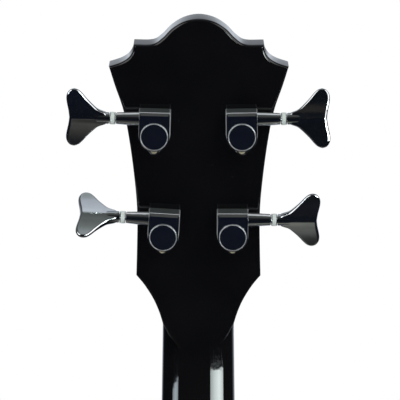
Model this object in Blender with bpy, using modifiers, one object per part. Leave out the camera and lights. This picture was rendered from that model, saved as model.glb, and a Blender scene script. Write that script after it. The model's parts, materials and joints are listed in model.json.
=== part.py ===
"""Semi-hollow bass guitar, modelled piece by piece at its real size.

Units are metres. +Z runs up the neck to the headstock and the strings lie on the -Y side. +X is the treble side.
The origin is the middle of the nut's front edge, in the plane where the fingerboard is glued to the neck.
"""
import math

import bmesh
import bpy
from mathutils import Matrix, Vector

# Sizes of the whole instrument
SCALE_LENGTH = 0.770
FRET_COUNT = 22
NUT_WIDTH = 0.042
BOARD_PAST_LAST_FRET = 0.006
BOARD_LENGTH = round(SCALE_LENGTH * (1 - 2 ** (-FRET_COUNT / 12)) + BOARD_PAST_LAST_FRET, 3)
BOARD_OVER_BODY = 0.070
BOARD_END_WIDTH = 0.0566
BOARD_THICKNESS = 0.006
BOARD_CROWN = 0.0008
FRET_HALF_WIDTH = 0.0013
FRET_CROWN_SHARE = 0.6
FRET_RISE = 0.0009
GAP = 0.0003
# How far joined shapes reach into each other, and how far cutting shapes reach past what they open
OVERLAP = 0.001
CUT_PAST = 0.002
CUT_FAR = 0.020

# Neck and headstock
NECK_DEPTH_AT_NUT = 0.0138
NECK_DEPTH_AT_HEEL = 0.0175
NECK_ROUNDNESS = 2.3
NUT_THICKNESS = 0.005
NUT_ABOVE_STRINGS = 0.0012
NUT_EDGE = 0.0005
NUT_SLOT_SHARE = 0.9
NUT_LEDGE = 0.006
HEAD_TILT = math.radians(17)
HEAD_THICKNESS = 0.0165
HEAD_EDGE_ROUNDING = 0.0016
HEAD_FOOT = 0.0072
# Where the neck grows out of the headstock: places of its sections, and how square each one's back is
SHOULDER_RISE = 0.004
SHOULDER_LOW = 0.0035
SHOULDER_END = 0.0075
SHOULDER_SWELL = 0.0006
SHOULDER_ROUNDNESS = (14, 9, 4.6, 3.1)
HIDDEN_STEP = 0.0002
# The heel's curve: share of its length, and share of its depth reached there
HEEL_CURVE = ((0.45, 0.13), (0.70, 0.40), (0.86, 0.75), (1.0, 1.0))

# Right half of the headstock's outline, across and along its face, from the crest down to the neck.
# Each stretch is a smooth curve, and two stretches meet in a corner.
CREST = [(0.0, 0.1889), (0.0085, 0.1872), (0.0155, 0.1829), (0.0206, 0.1777), (0.0262, 0.1742), (0.0369, 0.1740)]
SCALLOP = [(0.0369, 0.1740), (0.0378, 0.1696), (0.0402, 0.1661), (0.0445, 0.1634), (0.0511, 0.1612)]
FLANK = [(0.0511, 0.1612), (0.0474, 0.1504), (0.0420, 0.1340), (0.0387, 0.1129), (0.0363, 0.0886),
         (0.0355, 0.0720), (0.0358, 0.0526), (0.0363, 0.0360)]
COVE = [(0.0363, 0.0360), (0.0315, 0.0298), (0.0266, 0.0216), (0.0232, 0.0136), (0.0209, 0.0072)]

# Tuning machines: where the posts stand on the headstock, and by how many degrees each one leans up from
# square as it is screwed on
LOWER_POST = (0.0197, 0.0634)
UPPER_POST = (0.0246, 0.1232)
MACHINE_LEANS = {"e": 0.0, "a": 1.0, "d": 1.5, "g": 3.5}
WHEEL_TEETH = 20
WHEEL_PITCH_RADIUS = 0.0062
WHEEL_THICKNESS = 0.004
WORM_PITCH_RADIUS = 0.0028
WORM_HALF_LENGTH = 0.0042
TOOTH_REACH = 0.00045
TOOTH_ROOM = 0.0002
# Half widths of a tooth at its root and its crest, as shares of the pitch, before the play is taken off
THREAD_FLANK = 0.345
WHEEL_FLANK = 0.360
TOOTH_CREST = 0.135
GEAR_PLAY = 0.09
GEAR_HEIGHT = 0.006
WORM_ROOM = 0.0006
WORM_STUB = 0.0012
WORM_POINTS = 10
WHEEL_ROOM = 0.0008
WHEEL_HEADROOM = 0.001
HOUSING_RADIUS = 0.0091
HOUSING_HEIGHT = 0.0115
HOUSING_WALL = 0.0016
HOUSING_EDGE = 0.0012
CAP_RADIUS = 0.0077
CAP_RISE = 0.0009
SLEEVE_LENGTH = 0.0128
SLEEVE_RADIUS_IN = 0.0040
SLEEVE_RADIUS_OUT = 0.0032
EAR_RADIUS = 0.0034
EAR_THICKNESS = 0.0026
EAR_OFFSET = 0.0004
SHAFT_RADIUS = 0.0020
SHAFT_GRIP = 0.0075
WASHER_RADIUS = 0.0037
WASHER_LENGTH = 0.0034
POST_RADIUS = 0.0045
POST_WAIST = 0.0035
POST_TOP = 0.0185
POST_HEAD = 0.0040
POST_SLOT = 0.0024
POST_EDGE = 0.0008
POST_TAPER = 0.0012
POST_STEP = 0.0003
POST_SHOULDER = 0.0002
POST_FOOT = 0.0007
BUSHING_FLANGE_RADIUS = 0.0085
BUSHING_FLANGE = 0.0025
BUSHING_EDGE = 0.0009
BUSHING_RADIUS = 0.0066
BUSHING_LENGTH = 0.010
RUNNING_FIT = 0.0003
KEY_MIDDLE_THICKNESS = 0.0056
KEY_RIM_THICKNESS = 0.0024
# How fast a key thins out from its ridge, and the ridge's share of its height at the outer end
KEY_HOLLOW = 1.8
KEY_END_SHARE = 0.8
KEY_EDGE = 0.0007
KEY_NECK_RADIUS = 0.0031
KEY_NECK_END_RADIUS = 0.0022
KEY_NECK_LENGTH = 0.010
# Half of a key: distance off its axis, and where it begins and ends there, out from its foot
KEY_SPAN = [(0.0015, 0.0000, 0.0226), (0.0029, 0.0004, 0.0228), (0.0040, 0.0034, 0.0231),
            (0.0052, 0.0062, 0.0234), (0.0084, 0.0098, 0.0240), (0.0115, 0.0128, 0.02435),
            (0.0140, 0.0149, 0.0239), (0.0161, 0.0172, 0.0224), (0.0170, 0.0187, 0.0210)]
# How far each key is turned at rest
KEY_TURNS = {"e": -11, "a": 13, "d": -2.5, "g": 59}

# Truss rod
ROD_RADIUS = 0.0025
ROD_DEPTH = 0.0075
ROD_SHORT_OF_BODY = 0.045
ROD_NUT_RADIUS = 0.0034
ROD_NUT_START = 0.012
ROD_NUT_END = 0.020
ROD_WRENCH_ROOM = 0.006
COVER_WIDTH = 0.026
COVER_LENGTH = 0.034
COVER_THICKNESS = 0.0018
COVER_EDGE = 0.0006
# Shape of the rod's cover: shares of its half width and of its length
COVER_SHAPE = [(0.92, 0.0), (1.0, 0.3), (0.66, 0.7), (0.0, 1.0)]

# Body. Heights on it are counted from its joint with the neck.
BODY_TOP = BOARD_OVER_BODY - BOARD_LENGTH
ARCH_CENTRE = -0.160
HEEL_LENGTH = 0.050
BODY_WIDTH = 0.406
BODY_DEPTH = 0.044
TOP_EDGE = 0.0125
TOP_ARCH = 0.0115
BACK_ARCH = 0.010
FLAT_SHARE = 0.5
PLATE_THICKNESS = 0.0045
RIM_THICKNESS = 0.0045
BINDING_WIDTH = 0.002
# Treble half of the body's outline, from the neck joint round the horn and the waist to the tail. It is
# drawn at full size and spread to the body's width, with the sound holes and the controls.
HORN_INSIDE = [(0.0450, 0.0100), (0.0680, 0.0340), (0.0960, 0.0522)]
BODY_SIDE = [(0.1270, 0.0410), (0.1480, -0.0020), (0.1450, -0.0680), (0.1260, -0.1350), (0.1500, -0.2050),
             (0.1910, -0.2620), (0.2030, -0.3100), (0.1910, -0.3600), (0.1400, -0.4090), (0.0720, -0.4270),
             (0.0, -0.4300)]
BLOCK_HALF_WIDTH = 0.055
BLOCK_TOP_ROOM = 0.003
BLOCK_TAIL_ROOM = 0.0055
TENON_HALF_WIDTH = 0.023
TENON_DEPTH = 0.036
# Sound holes: place and radius of the round eye at each end, and the slot's half width and sway between them
EYES = [(0.118, -0.150, 0.0065), (0.098, -0.282, 0.0080)]
SLOT_HALF_WIDTH = 0.0028
SLOT_SWELL = 0.0050
SLOT_SWAY = 0.013
SLOT_STEPS = 9
# How far to each side the slope of a plate is read
SLOPE_REACH = 0.006

# Bridge and saddles
SADDLE_WIDTH = 0.012
SADDLE_FRONT = 0.006
SADDLE_BACK = 0.007
SADDLE_RIDGE = 0.001
SADDLE_TRAVEL = 0.004
SADDLE_ROOM = 0.005
SCREW_ROOM = 0.017
BRIDGE_SPACING = 0.019
BRIDGE_END_ROOM = 0.0075
BRIDGE_WIDTH = 3 * BRIDGE_SPACING + SADDLE_WIDTH + 2 * BRIDGE_END_ROOM
BRIDGE_STEP = 0.0005
BRIDGE_LIFT = 0.0035
BRIDGE_FLOOR = 0.003
BRIDGE_LIP = 0.003
BRIDGE_LIP_HEIGHT = 0.002
TAIL_WALL = 0.008
TAIL_HEIGHT = 0.0085
STRING_SLOT_ROOM = 0.0006
BRIDGE_FRONT = -SCALE_LENGTH + SADDLE_FRONT + SADDLE_TRAVEL + SADDLE_ROOM + BRIDGE_LIP
BRIDGE_BACK = -SCALE_LENGTH - SADDLE_BACK - SADDLE_TRAVEL - SCREW_ROOM - TAIL_WALL
STUD_RADIUS = 0.0045
STUD_DEPTH = 0.020
STUD_INSET = 0.006
STUD_SETBACK = 0.010

# Pickups
PICKUP_WIDTH = 0.090
PICKUP_LENGTH = 0.038
PICKUP_TOP = 0.0075
PICKUP_DEPTH = 0.014
PICKUP_ROUNDING = 0.002
PICKUP_ROOM = 0.001
PICKUP_ROOM_BELOW = 0.002
RING_MARGIN = 0.007
RING_HEIGHT = 0.004
RING_CHAMFER = 0.0015
BOARD_TO_RING = 0.008
RING_TO_BRIDGE = 0.014

# Strings: name, radius, side and place across, and turns on the post
STRINGS = {
    "e": {"radius": 0.001325, "place": -1.5, "turns": 1.75},
    "a": {"radius": 0.00105, "place": -0.5, "turns": 2.25},
    "d": {"radius": 0.00080, "place": 0.5, "turns": 2.5},
    "g": {"radius": 0.00056, "place": 1.5, "turns": 3.0},
}
NUT_SPACING = 0.0107
STRING_HEIGHT_NUT = 0.0078
STRING_HEIGHT_BRIDGE = 0.0118
STRING_TAIL_HEIGHT = 0.0088
STRING_TAIL = 0.002
STRING_LEAD = 0.001
STRING_PAST_NUT = 0.0004
STRING_ABOVE_FLANGE = 0.0007
STRING_SIDES = 6
STRAIGHT_POINTS = 5
WRAP_POINTS = 12
WRAP_SPARE = 0.0005

# Controls
KNOB_PLACES = {"volume_neck": (0.112, -0.312), "volume_bridge": (0.150, -0.316), "tone": (0.132, -0.352)}
KNOB_RADIUS = 0.0125
KNOB_TOP_RADIUS = 0.0100
KNOB_HEIGHT = 0.0140
KNOB_CLEARANCE = 0.0012
KNOB_SKIRT = 0.0015
KNOB_EDGE = 0.001
KNOB_SHAFT = 0.003
SHAFT_SHORT = 0.002
POT_RADIUS = 0.0115
POT_HEIGHT = 0.009
POT_DROP = 0.0012
POT_NECK_RADIUS = 0.0046
POT_NECK_RISE = 0.0006
SWITCH_PLACE = (0.090, -0.356)
SWITCH_RADIUS = 0.0058
SWITCH_RISE = 0.0035
SWITCH_DEPTH = 0.012
SWITCH_FLOOR = 0.002
SWITCH_BORE = 0.0036
SWITCH_EDGE = 0.001
LEVER_PIVOT_DEPTH = 0.002
LEVER_RADIUS = 0.0012
LEVER_LENGTH = 0.019
BALL_STEPS = 4
TIP_RADIUS = 0.0034
# The lever's tip: share of its radius, and distance below its end
TIP_SHAPE = [(0.0, 0.0), (0.7, 0.0006), (1.0, 0.003), (0.7, 0.009)]
TIP_LENGTH = 0.0095
JACK_PLACE = -0.310
JACK_BORE = 0.0032
JACK_RADIUS = 0.0050
JACK_LENGTH = 0.022
JACK_PLATE = (0.034, 0.024)
JACK_PLATE_THICKNESS = 0.0015
JACK_COLLAR = 0.002
JACK_PLATE_POINTS = 24
STRAP_RADIUS = 0.0085
# A strap button: share of its radius, and height above its foot
STRAP_SHAPE = [(0.0, 0.012), (0.76, 0.012), (1.0, 0.0105), (1.0, 0.009), (0.5, 0.007), (0.5, 0.003), (0.8, 0.0),
               (0.0, 0.0)]
HEEL_BUTTON_PLACE = -0.022
HEEL_BUTTON_LIFT = 0.0006


def clear_scene():
    """Start from an empty scene"""
    for thing in list(bpy.data.objects):
        bpy.data.objects.remove(thing, do_unlink=True)


def new_collection(name):
    """A collection linked to the scene"""
    group = bpy.data.collections.new(name)
    bpy.context.scene.collection.children.link(group)
    return group


clear_scene()
INSTRUMENT = new_collection("semi_hollow_bass")
CUTTERS = new_collection("cutters")


def finish(name, colour, roughness, metallic=0.0):
    """One plain material with its colour, roughness and metallic value"""
    material = bpy.data.materials.new(name)
    material.use_nodes = True
    shader = material.node_tree.nodes["Principled BSDF"]
    shader.inputs["Base Color"].default_value = (*colour, 1.0)
    shader.inputs["Roughness"].default_value = roughness
    shader.inputs["Metallic"].default_value = metallic
    material.diffuse_color = (*colour, 1.0)
    return material


BLACK_LACQUER = finish("black_lacquer", (0.006, 0.006, 0.008), 0.08)
DARK_WOOD = finish("dark_fingerboard_wood", (0.035, 0.018, 0.010), 0.45)
PALE_WOOD = finish("pale_block_wood", (0.60, 0.42, 0.24), 0.6)
CREAM = finish("cream_plastic", (0.78, 0.68, 0.48), 0.35)
BONE = finish("nut_bone", (0.80, 0.76, 0.64), 0.4)
CHROME = finish("chrome", (0.75, 0.76, 0.78), 0.06, 1.0)
STEEL = finish("bright_steel", (0.55, 0.55, 0.56), 0.3, 1.0)
NYLON = finish("pale_nylon", (0.70, 0.76, 0.72), 0.4)
BLACK_PLASTIC = finish("black_plastic", (0.012, 0.012, 0.013), 0.3)


def add_piece(name, mesh, material, parent=None, matrix=None):
    """Put a mesh into the scene as one named piece"""
    piece = bpy.data.objects.new(name, mesh)
    INSTRUMENT.objects.link(piece)
    mesh.name = name
    mesh.materials.clear()
    mesh.materials.append(material)
    if parent:
        piece.parent = parent
    if matrix:
        piece.matrix_local = matrix
    mesh.shade_smooth()
    mesh.set_sharp_from_angle(angle=math.radians(32))
    return piece


def add_frame(name, matrix, parent=None):
    """An empty that carries pieces or a joint's axis"""
    frame = bpy.data.objects.new(name, None)
    INSTRUMENT.objects.link(frame)
    frame.empty_display_size = 0.01
    if parent:
        frame.parent = parent
    frame.matrix_local = matrix
    bpy.context.view_layer.update()
    return frame


def finished(bm):
    """Turn all faces outwards and hand the mesh over"""
    bmesh.ops.recalc_face_normals(bm, faces=bm.faces)
    mesh = bpy.data.meshes.new("shape")
    bm.to_mesh(mesh)
    bm.free()
    return mesh


def loft(rings):
    """Skin a row of rings that have equally many points, with a cap on each end"""
    bm = bmesh.new()
    rows = [[bm.verts.new(point) for point in ring] for ring in rings]
    for first, second in zip(rows, rows[1:]):
        for i in range(len(first)):
            j = (i + 1) % len(first)
            bm.faces.new((first[i], first[j], second[j], second[i]))
    bm.faces.new(rows[0])
    bm.faces.new(rows[-1])
    bmesh.ops.triangulate(bm, faces=[face for face in bm.faces if len(face.verts) == 4])
    return finished(bm)


def cylinder(radius, start, end, sides=24, end_radius=None):
    """A cylinder or cone between two points"""
    start = Vector(start)
    end = Vector(end)
    length = (end - start).length
    turn = (end - start).to_track_quat("Z", "Y").to_matrix().to_4x4()
    bm = bmesh.new()
    bmesh.ops.create_cone(
        bm, cap_ends=True, segments=sides, radius1=radius,
        radius2=radius if end_radius is None else end_radius, depth=length,
        matrix=Matrix.Translation((start + end) / 2) @ turn)
    return finished(bm)


def block(low, high):
    """A box between two corners"""
    low = Vector(low)
    high = Vector(high)
    bm = bmesh.new()
    size = Matrix.Diagonal((*(high - low), 1.0))
    bmesh.ops.create_cube(bm, size=1.0, matrix=Matrix.Translation((low + high) / 2) @ size)
    return finished(bm)


def turned(profile, steps=24, closed=False):
    """Revolve a profile of (radius, height) points about Z with a Screw modifier"""
    bm = bmesh.new()
    points = [bm.verts.new((radius, 0.0, height)) for radius, height in profile]
    for first, second in zip(points, points[1:]):
        bm.edges.new((first, second))
    if closed:
        bm.edges.new((points[-1], points[0]))
    mesh = bpy.data.meshes.new("profile")
    bm.to_mesh(mesh)
    bm.free()
    helper = bpy.data.objects.new("profile", mesh)
    CUTTERS.objects.link(helper)
    screw = helper.modifiers.new("turn", "SCREW")
    screw.steps = steps
    screw.render_steps = steps
    screw.use_merge_vertices = True
    screw.merge_threshold = 0.00001
    shape = evaluated_mesh(helper)
    bpy.data.objects.remove(helper)
    bm = bmesh.new()
    bm.from_mesh(shape)
    return finished(bm)


def evaluated_mesh(piece):
    """The mesh that an object's modifiers or curve settings make, in its own space"""
    graph = bpy.context.evaluated_depsgraph_get()
    graph.update()
    return bpy.data.meshes.new_from_object(piece.evaluated_get(graph))


def moved(mesh, matrix):
    """Place a mesh by a matrix, keeping its faces outwards"""
    mesh.transform(matrix)
    if matrix.determinant() < 0:
        mesh.flip_normals()
    return mesh


def solid(base, add=(), cut=(), keep=()):
    """Keep what a base shape shares with some shapes, join others to it and cut others out of it"""
    helper = bpy.data.objects.new("base", base)
    CUTTERS.objects.link(helper)
    tools = []
    for shapes, operation in ((keep, "INTERSECT"), (add, "UNION"), (cut, "DIFFERENCE")):
        for shape in shapes:
            tool = bpy.data.objects.new("tool", shape)
            CUTTERS.objects.link(tool)
            tool.hide_render = True
            tool.display_type = "WIRE"
            tools.append(tool)
            join = helper.modifiers.new("join", "BOOLEAN")
            join.operation = operation
            join.solver = "EXACT"
            join.object = tool
    shape = evaluated_mesh(helper)
    for thing in [helper, *tools]:
        bpy.data.objects.remove(thing)
    return shape


def chamfered(mesh, width, angle=50, segments=1):
    """Break a shape's sharp edges with a Bevel modifier"""
    helper = bpy.data.objects.new("edges", mesh)
    CUTTERS.objects.link(helper)
    bevel = helper.modifiers.new("edges", "BEVEL")
    bevel.width = width
    bevel.segments = segments
    bevel.limit_method = "ANGLE"
    bevel.angle_limit = math.radians(angle)
    shape = evaluated_mesh(helper)
    bpy.data.objects.remove(helper)
    return shape


def smooth_run(points, steps):
    """Points of a smooth curve that passes through the given ones"""
    points = [Vector(point) for point in points]
    before = points[0] * 2 - points[1]
    after = points[-1] * 2 - points[-2]
    row = [before, *points, after]
    run = []
    for a, b, c, d in zip(row, row[1:], row[2:], row[3:]):
        for k in range(steps):
            t = k / steps
            run.append(((b * 2) + (c - a) * t + (a * 2 - b * 5 + c * 4 - d) * t ** 2
                        + (b * 3 - a - c * 3 + d) * t ** 3) / 2)
    run.append(points[-1])
    return run


def inset(outline, distance):
    """Move each point of a closed outline inwards, square to its neighbours"""
    area = sum(a.x * b.y - b.x * a.y for a, b in zip(outline, outline[1:] + outline[:1]))
    side = 1 if area > 0 else -1
    result = []
    for i, point in enumerate(outline):
        before = (point - outline[i - 1]).normalized()
        after = (outline[(i + 1) % len(outline)] - point).normalized()
        along = (before + after).normalized()
        reach = max(0.5, along.dot(after))
        result.append(point + Vector((-along.y, along.x)) * side * distance / reach)
    return result


def flat_ring(outline, y):
    """Stand a flat outline up in the XZ plane at one depth"""
    return [(point.x, y, point.y) for point in outline]


def board_half_width(z):
    """Half the fingerboard's width at a height"""
    return (NUT_WIDTH + (BOARD_END_WIDTH - NUT_WIDTH) * -z / BOARD_LENGTH) / 2


def head_back(z):
    """Depth of the headstock's back face where it runs into the neck"""
    return HEAD_THICKNESS / math.cos(HEAD_TILT) + (z - NUT_LEDGE) * math.tan(HEAD_TILT)


def neck_ring(z, half_width, depth, roundness, front=0.0, points=15):
    """One section of the neck: flat in front, and a rounded back that can be nearly square"""
    ring = []
    for i in range(points):
        turn = math.pi * (1 - i / (points - 1))
        across = abs(math.cos(turn)) ** (2 / roundness)
        back = abs(math.sin(turn)) ** (2 / roundness)
        ring.append((math.copysign(across, math.cos(turn)) * half_width, front + (depth - front) * back, z))
    return ring


HEAD = Matrix.Translation((0, 0, NUT_LEDGE)) @ Matrix.Rotation(-HEAD_TILT, 4, "X")
HEAD_FRAME = add_frame("headstock_frame", HEAD)


def head_outline():
    """The whole outline of the headstock, closed across its foot inside the neck"""
    mirrored = (-CREST[1][0], CREST[1][1])
    half = smooth_run([mirrored] + CREST, 3)[3:-1] + smooth_run(SCALLOP, 2)[:-1]
    half += smooth_run(FLANK, 1)[:-1] + smooth_run(COVE, 2)
    left = [Vector((-point.x, point.y)) for point in reversed(half[1:])]
    return half + left


def make_neck():
    """Neck and headstock from one piece of wood, with the heel and the tenon that goes into the body"""
    outline = head_outline()
    edge = inset(outline, HEAD_EDGE_ROUNDING)
    head = loft([flat_ring(edge, 0.0), flat_ring(outline, HEAD_EDGE_ROUNDING),
                 flat_ring(outline, HEAD_THICKNESS - HEAD_EDGE_ROUNDING), flat_ring(edge, HEAD_THICKNESS)])
    moved(head, HEAD)
    top = HEAD_FOOT + NUT_LEDGE + SHOULDER_RISE
    joint = BODY_TOP + GAP
    heel_depth = TOP_EDGE + BODY_DEPTH - GAP
    sections = [
        neck_ring(top, COVE[-1][0] - HIDDEN_STEP, head_back(top) - 3 * HIDDEN_STEP, SHOULDER_ROUNDNESS[0],
                  (top - NUT_LEDGE) * math.tan(HEAD_TILT) + HIDDEN_STEP),
        neck_ring(NUT_LEDGE, board_half_width(0) - 4 * HIDDEN_STEP, head_back(NUT_LEDGE) - HIDDEN_STEP,
                  SHOULDER_ROUNDNESS[1]),
        neck_ring(0.0, board_half_width(0), head_back(0), SHOULDER_ROUNDNESS[2]),
        neck_ring(-SHOULDER_LOW, board_half_width(0), NECK_DEPTH_AT_NUT + SHOULDER_SWELL, SHOULDER_ROUNDNESS[3]),
        neck_ring(-SHOULDER_END, board_half_width(-SHOULDER_END), NECK_DEPTH_AT_NUT, NECK_ROUNDNESS),
    ]
    shoulder = sections[-1][0][2]
    heel = joint + HEEL_LENGTH
    for share in (0.05, 0.5, 1.0):
        z = shoulder + (heel - shoulder) * share
        depth = NECK_DEPTH_AT_NUT + (NECK_DEPTH_AT_HEEL - NECK_DEPTH_AT_NUT) * share
        sections.append(neck_ring(z, board_half_width(z), depth, NECK_ROUNDNESS))
    for share, rise in HEEL_CURVE:
        z = heel + (joint - heel) * share
        depth = NECK_DEPTH_AT_HEEL + (heel_depth - NECK_DEPTH_AT_HEEL) * rise
        sections.append(neck_ring(z, board_half_width(z), depth, NECK_ROUNDNESS + rise))
    neck = loft(sections)
    foot = 2 * RIM_THICKNESS
    tenon = block((-TENON_HALF_WIDTH, 0.0, -BOARD_LENGTH), (TENON_HALF_WIDTH, TENON_DEPTH, joint + foot))
    channel = ROD_RADIUS + GAP
    cuts = [
        block((-channel, -CUT_PAST, rod_end() - GAP), (channel, ROD_DEPTH + channel, ROD_NUT_END + GAP)),
        block((-ROD_NUT_RADIUS - GAP, -CUT_PAST, ROD_NUT_START - GAP),
              (ROD_NUT_RADIUS + GAP, ROD_DEPTH + ROD_NUT_RADIUS + GAP, ROD_NUT_END + ROD_WRENCH_ROOM)),
    ]
    for x, z in post_places().values():
        rear = BUSHING_LENGTH + GAP
        through = HEAD_THICKNESS + CUT_PAST
        cuts.append(moved(cylinder(BUSHING_RADIUS + GAP, (x, -CUT_PAST, z), (x, rear, z), 14), HEAD))
        cuts.append(moved(cylinder(POST_RADIUS + RUNNING_FIT, (x, 0.0, z), (x, through, z), 14), HEAD))
    add_piece("neck", solid(neck, [head, tenon], cuts), BLACK_LACQUER)


def post_places():
    """Where each string's post stands on the headstock, across and along its face"""
    return {
        "e": (-LOWER_POST[0], LOWER_POST[1]),
        "a": (-UPPER_POST[0], UPPER_POST[1]),
        "d": UPPER_POST,
        "g": LOWER_POST,
    }


def rod_end():
    """Height of the truss rod's lower end"""
    return BODY_TOP + ROD_SHORT_OF_BODY


def make_truss_rod():
    """A steel rod with its hexagonal nut, lying in the channel under the fingerboard"""
    rod = cylinder(ROD_RADIUS, (0, ROD_DEPTH, rod_end()), (0, ROD_DEPTH, ROD_NUT_START + OVERLAP), 12)
    nut = cylinder(ROD_NUT_RADIUS, (0, ROD_DEPTH, ROD_NUT_START), (0, ROD_DEPTH, ROD_NUT_END), 6)
    add_piece("truss_rod", solid(rod, [nut]), STEEL)
    half = COVER_WIDTH / 2
    right = smooth_run([(half * across, COVER_LENGTH * along) for across, along in COVER_SHAPE], 5)
    outline = right + [Vector((-point.x, point.y)) for point in reversed(right[:-1])]
    outline = [Vector((point.x, point.y + GAP)) for point in outline]
    edge = inset(outline, COVER_EDGE)
    face = -GAP - COVER_THICKNESS
    cover = loft([flat_ring(outline, -GAP), flat_ring(outline, face + COVER_EDGE), flat_ring(edge, face)])
    add_piece("truss_rod_cover", cover, BLACK_PLASTIC, HEAD_FRAME)


def board_ring(z, lift):
    """One section of the fingerboard, with a crowned face that a fret lifts"""
    half = board_half_width(z)
    ring = [(-half, -GAP, z), (half, -GAP, z)]
    for share in (1.0, 0.0, -1.0):
        height = BOARD_THICKNESS - BOARD_CROWN * share ** 2 + lift
        ring.append((half * share, -height, z))
    return ring


def make_fingerboard():
    """The fingerboard with its frets, spaced by the rule of the twelfth root of two"""
    crown_half = FRET_HALF_WIDTH * FRET_CROWN_SHARE
    sections = [board_ring(0.0, 0.0)]
    for number in range(1, FRET_COUNT + 1):
        z = -SCALE_LENGTH * (1 - 2 ** (-number / 12))
        for offset, lift in ((FRET_HALF_WIDTH, 0.0), (crown_half, FRET_RISE), (-crown_half, FRET_RISE),
                             (-FRET_HALF_WIDTH, 0.0)):
            sections.append(board_ring(z + offset, lift))
    sections.append(board_ring(-BOARD_LENGTH, 0.0))
    add_piece("fingerboard", loft(sections), DARK_WOOD)


def string_points():
    """Where each string crosses the nut and the saddles, as the middle of the string"""
    places = {}
    for name, string in STRINGS.items():
        radius = string["radius"]
        at_nut = Vector((string["place"] * NUT_SPACING, -STRING_HEIGHT_NUT - radius, 0.0))
        at_saddle = Vector((string["place"] * BRIDGE_SPACING, -STRING_HEIGHT_BRIDGE - radius, -SCALE_LENGTH))
        places[name] = (at_nut, at_saddle)
    return places


def make_nut():
    """The nut, with a round slot for each string"""
    half = NUT_WIDTH / 2
    height = STRING_HEIGHT_NUT + NUT_ABOVE_STRINGS
    body = chamfered(block((-half, -height, GAP), (half, -GAP, NUT_THICKNESS)), NUT_EDGE)
    through = NUT_THICKNESS + CUT_PAST
    cuts = []
    for name, (at_nut, _) in string_points().items():
        radius = STRINGS[name]["radius"] + GAP
        cuts.append(cylinder(radius, (at_nut.x, at_nut.y, -CUT_PAST), (at_nut.x, at_nut.y, through), 8))
        half_slot = radius * NUT_SLOT_SHARE
        cuts.append(block((at_nut.x - half_slot, at_nut.y - CUT_FAR, -CUT_PAST),
                          (at_nut.x + half_slot, at_nut.y, through)))
    add_piece("nut", solid(body, (), cuts), BONE)


def wrapped_route(name):
    """Route of a string from the bridge over the saddle and the nut to its turns round the post"""
    radius = STRINGS[name]["radius"]
    turns = STRINGS[name]["turns"]
    at_nut, at_saddle = string_points()[name]
    x_post, z_post = post_places()[name]
    wrap_radius = POST_WAIST + radius + GAP
    low = -BUSHING_FLANGE - radius - STRING_ABOVE_FLANGE
    behind_nut = at_nut + Vector((0, 0, NUT_THICKNESS + STRING_PAST_NUT))
    start = HEAD.inverted() @ behind_nut
    side = 1 if x_post > 0 else -1
    away = Vector((start.x - x_post, start.z - z_post))
    reach = math.acos(wrap_radius / away.length)
    heading = math.atan2(away.y, away.x) - side * reach
    route = [
        Vector((at_saddle.x, -STRING_TAIL_HEIGHT - radius, BRIDGE_BACK - STRING_TAIL)),
        Vector((at_saddle.x, -STRING_TAIL_HEIGHT - radius, BRIDGE_BACK + TAIL_WALL + STRING_LEAD)),
        at_saddle,
        at_nut,
        behind_nut,
    ]
    pitch = 2 * radius + WRAP_SPARE
    count = int(turns * WRAP_POINTS)
    for i in range(count + 1):
        angle = heading - side * 2 * math.pi * i / WRAP_POINTS
        depth = low - pitch * i / WRAP_POINTS
        route.append(HEAD @ Vector((x_post + wrap_radius * math.cos(angle), depth,
                                    z_post + wrap_radius * math.sin(angle))))
    return route


def tube(route, radius, sides=6):
    """A round tube along a polyline, made as a bevelled curve and turned into a mesh"""
    curve = bpy.data.curves.new("route", "CURVE")
    curve.dimensions = "3D"
    curve.bevel_depth = radius
    curve.bevel_resolution = max(0, sides // 2 - 2)
    curve.use_fill_caps = True
    spline = curve.splines.new("POLY")
    spline.points.add(len(route) - 1)
    for point, target in zip(spline.points, route):
        point.co = (*target, 1.0)
    helper = bpy.data.objects.new("route", curve)
    CUTTERS.objects.link(helper)
    shape = evaluated_mesh(helper)
    bpy.data.objects.remove(helper)
    bm = bmesh.new()
    bm.from_mesh(shape)
    bmesh.ops.remove_doubles(bm, verts=bm.verts, dist=0.000001)
    return finished(bm)


def least_self_gap(route, radius):
    """Least room between the turns of one string, measured between points a turn apart or more"""
    wraps = route[STRAIGHT_POINTS:]
    least = 1.0
    for i, first in enumerate(wraps):
        for second in wraps[i + WRAP_POINTS // 2:]:
            least = min(least, (first - second).length - 2 * radius)
    return least


def make_strings():
    """Four strings, each one unbroken tube from the bridge to its last turn on the post"""
    for name, string in STRINGS.items():
        route = wrapped_route(name)
        add_piece("string_" + name, tube(route, string["radius"], STRING_SIDES), STEEL)
        print("string", name, "least gap between turns", round(least_self_gap(route, string["radius"]) * 1000, 3), "mm")


def housing_outline(radius, height):
    """Outline of a housing: round below, concentric with the post, and square above"""
    outline = []
    steps = 10
    for i in range(steps + 1):
        angle = math.pi + math.pi * i / steps
        outline.append(Vector((radius * math.cos(angle), radius * math.sin(angle))))
    outline.append(Vector((radius, height)))
    outline.append(Vector((-radius, height)))
    return outline


def gear_distance():
    """Distance from the post's axis to the worm's axis"""
    return WHEEL_PITCH_RADIUS + WORM_PITCH_RADIUS


def sleeve_end():
    """How far the sleeve reaches out from the post's axis"""
    return HOUSING_RADIUS + SLEEVE_LENGTH


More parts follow.
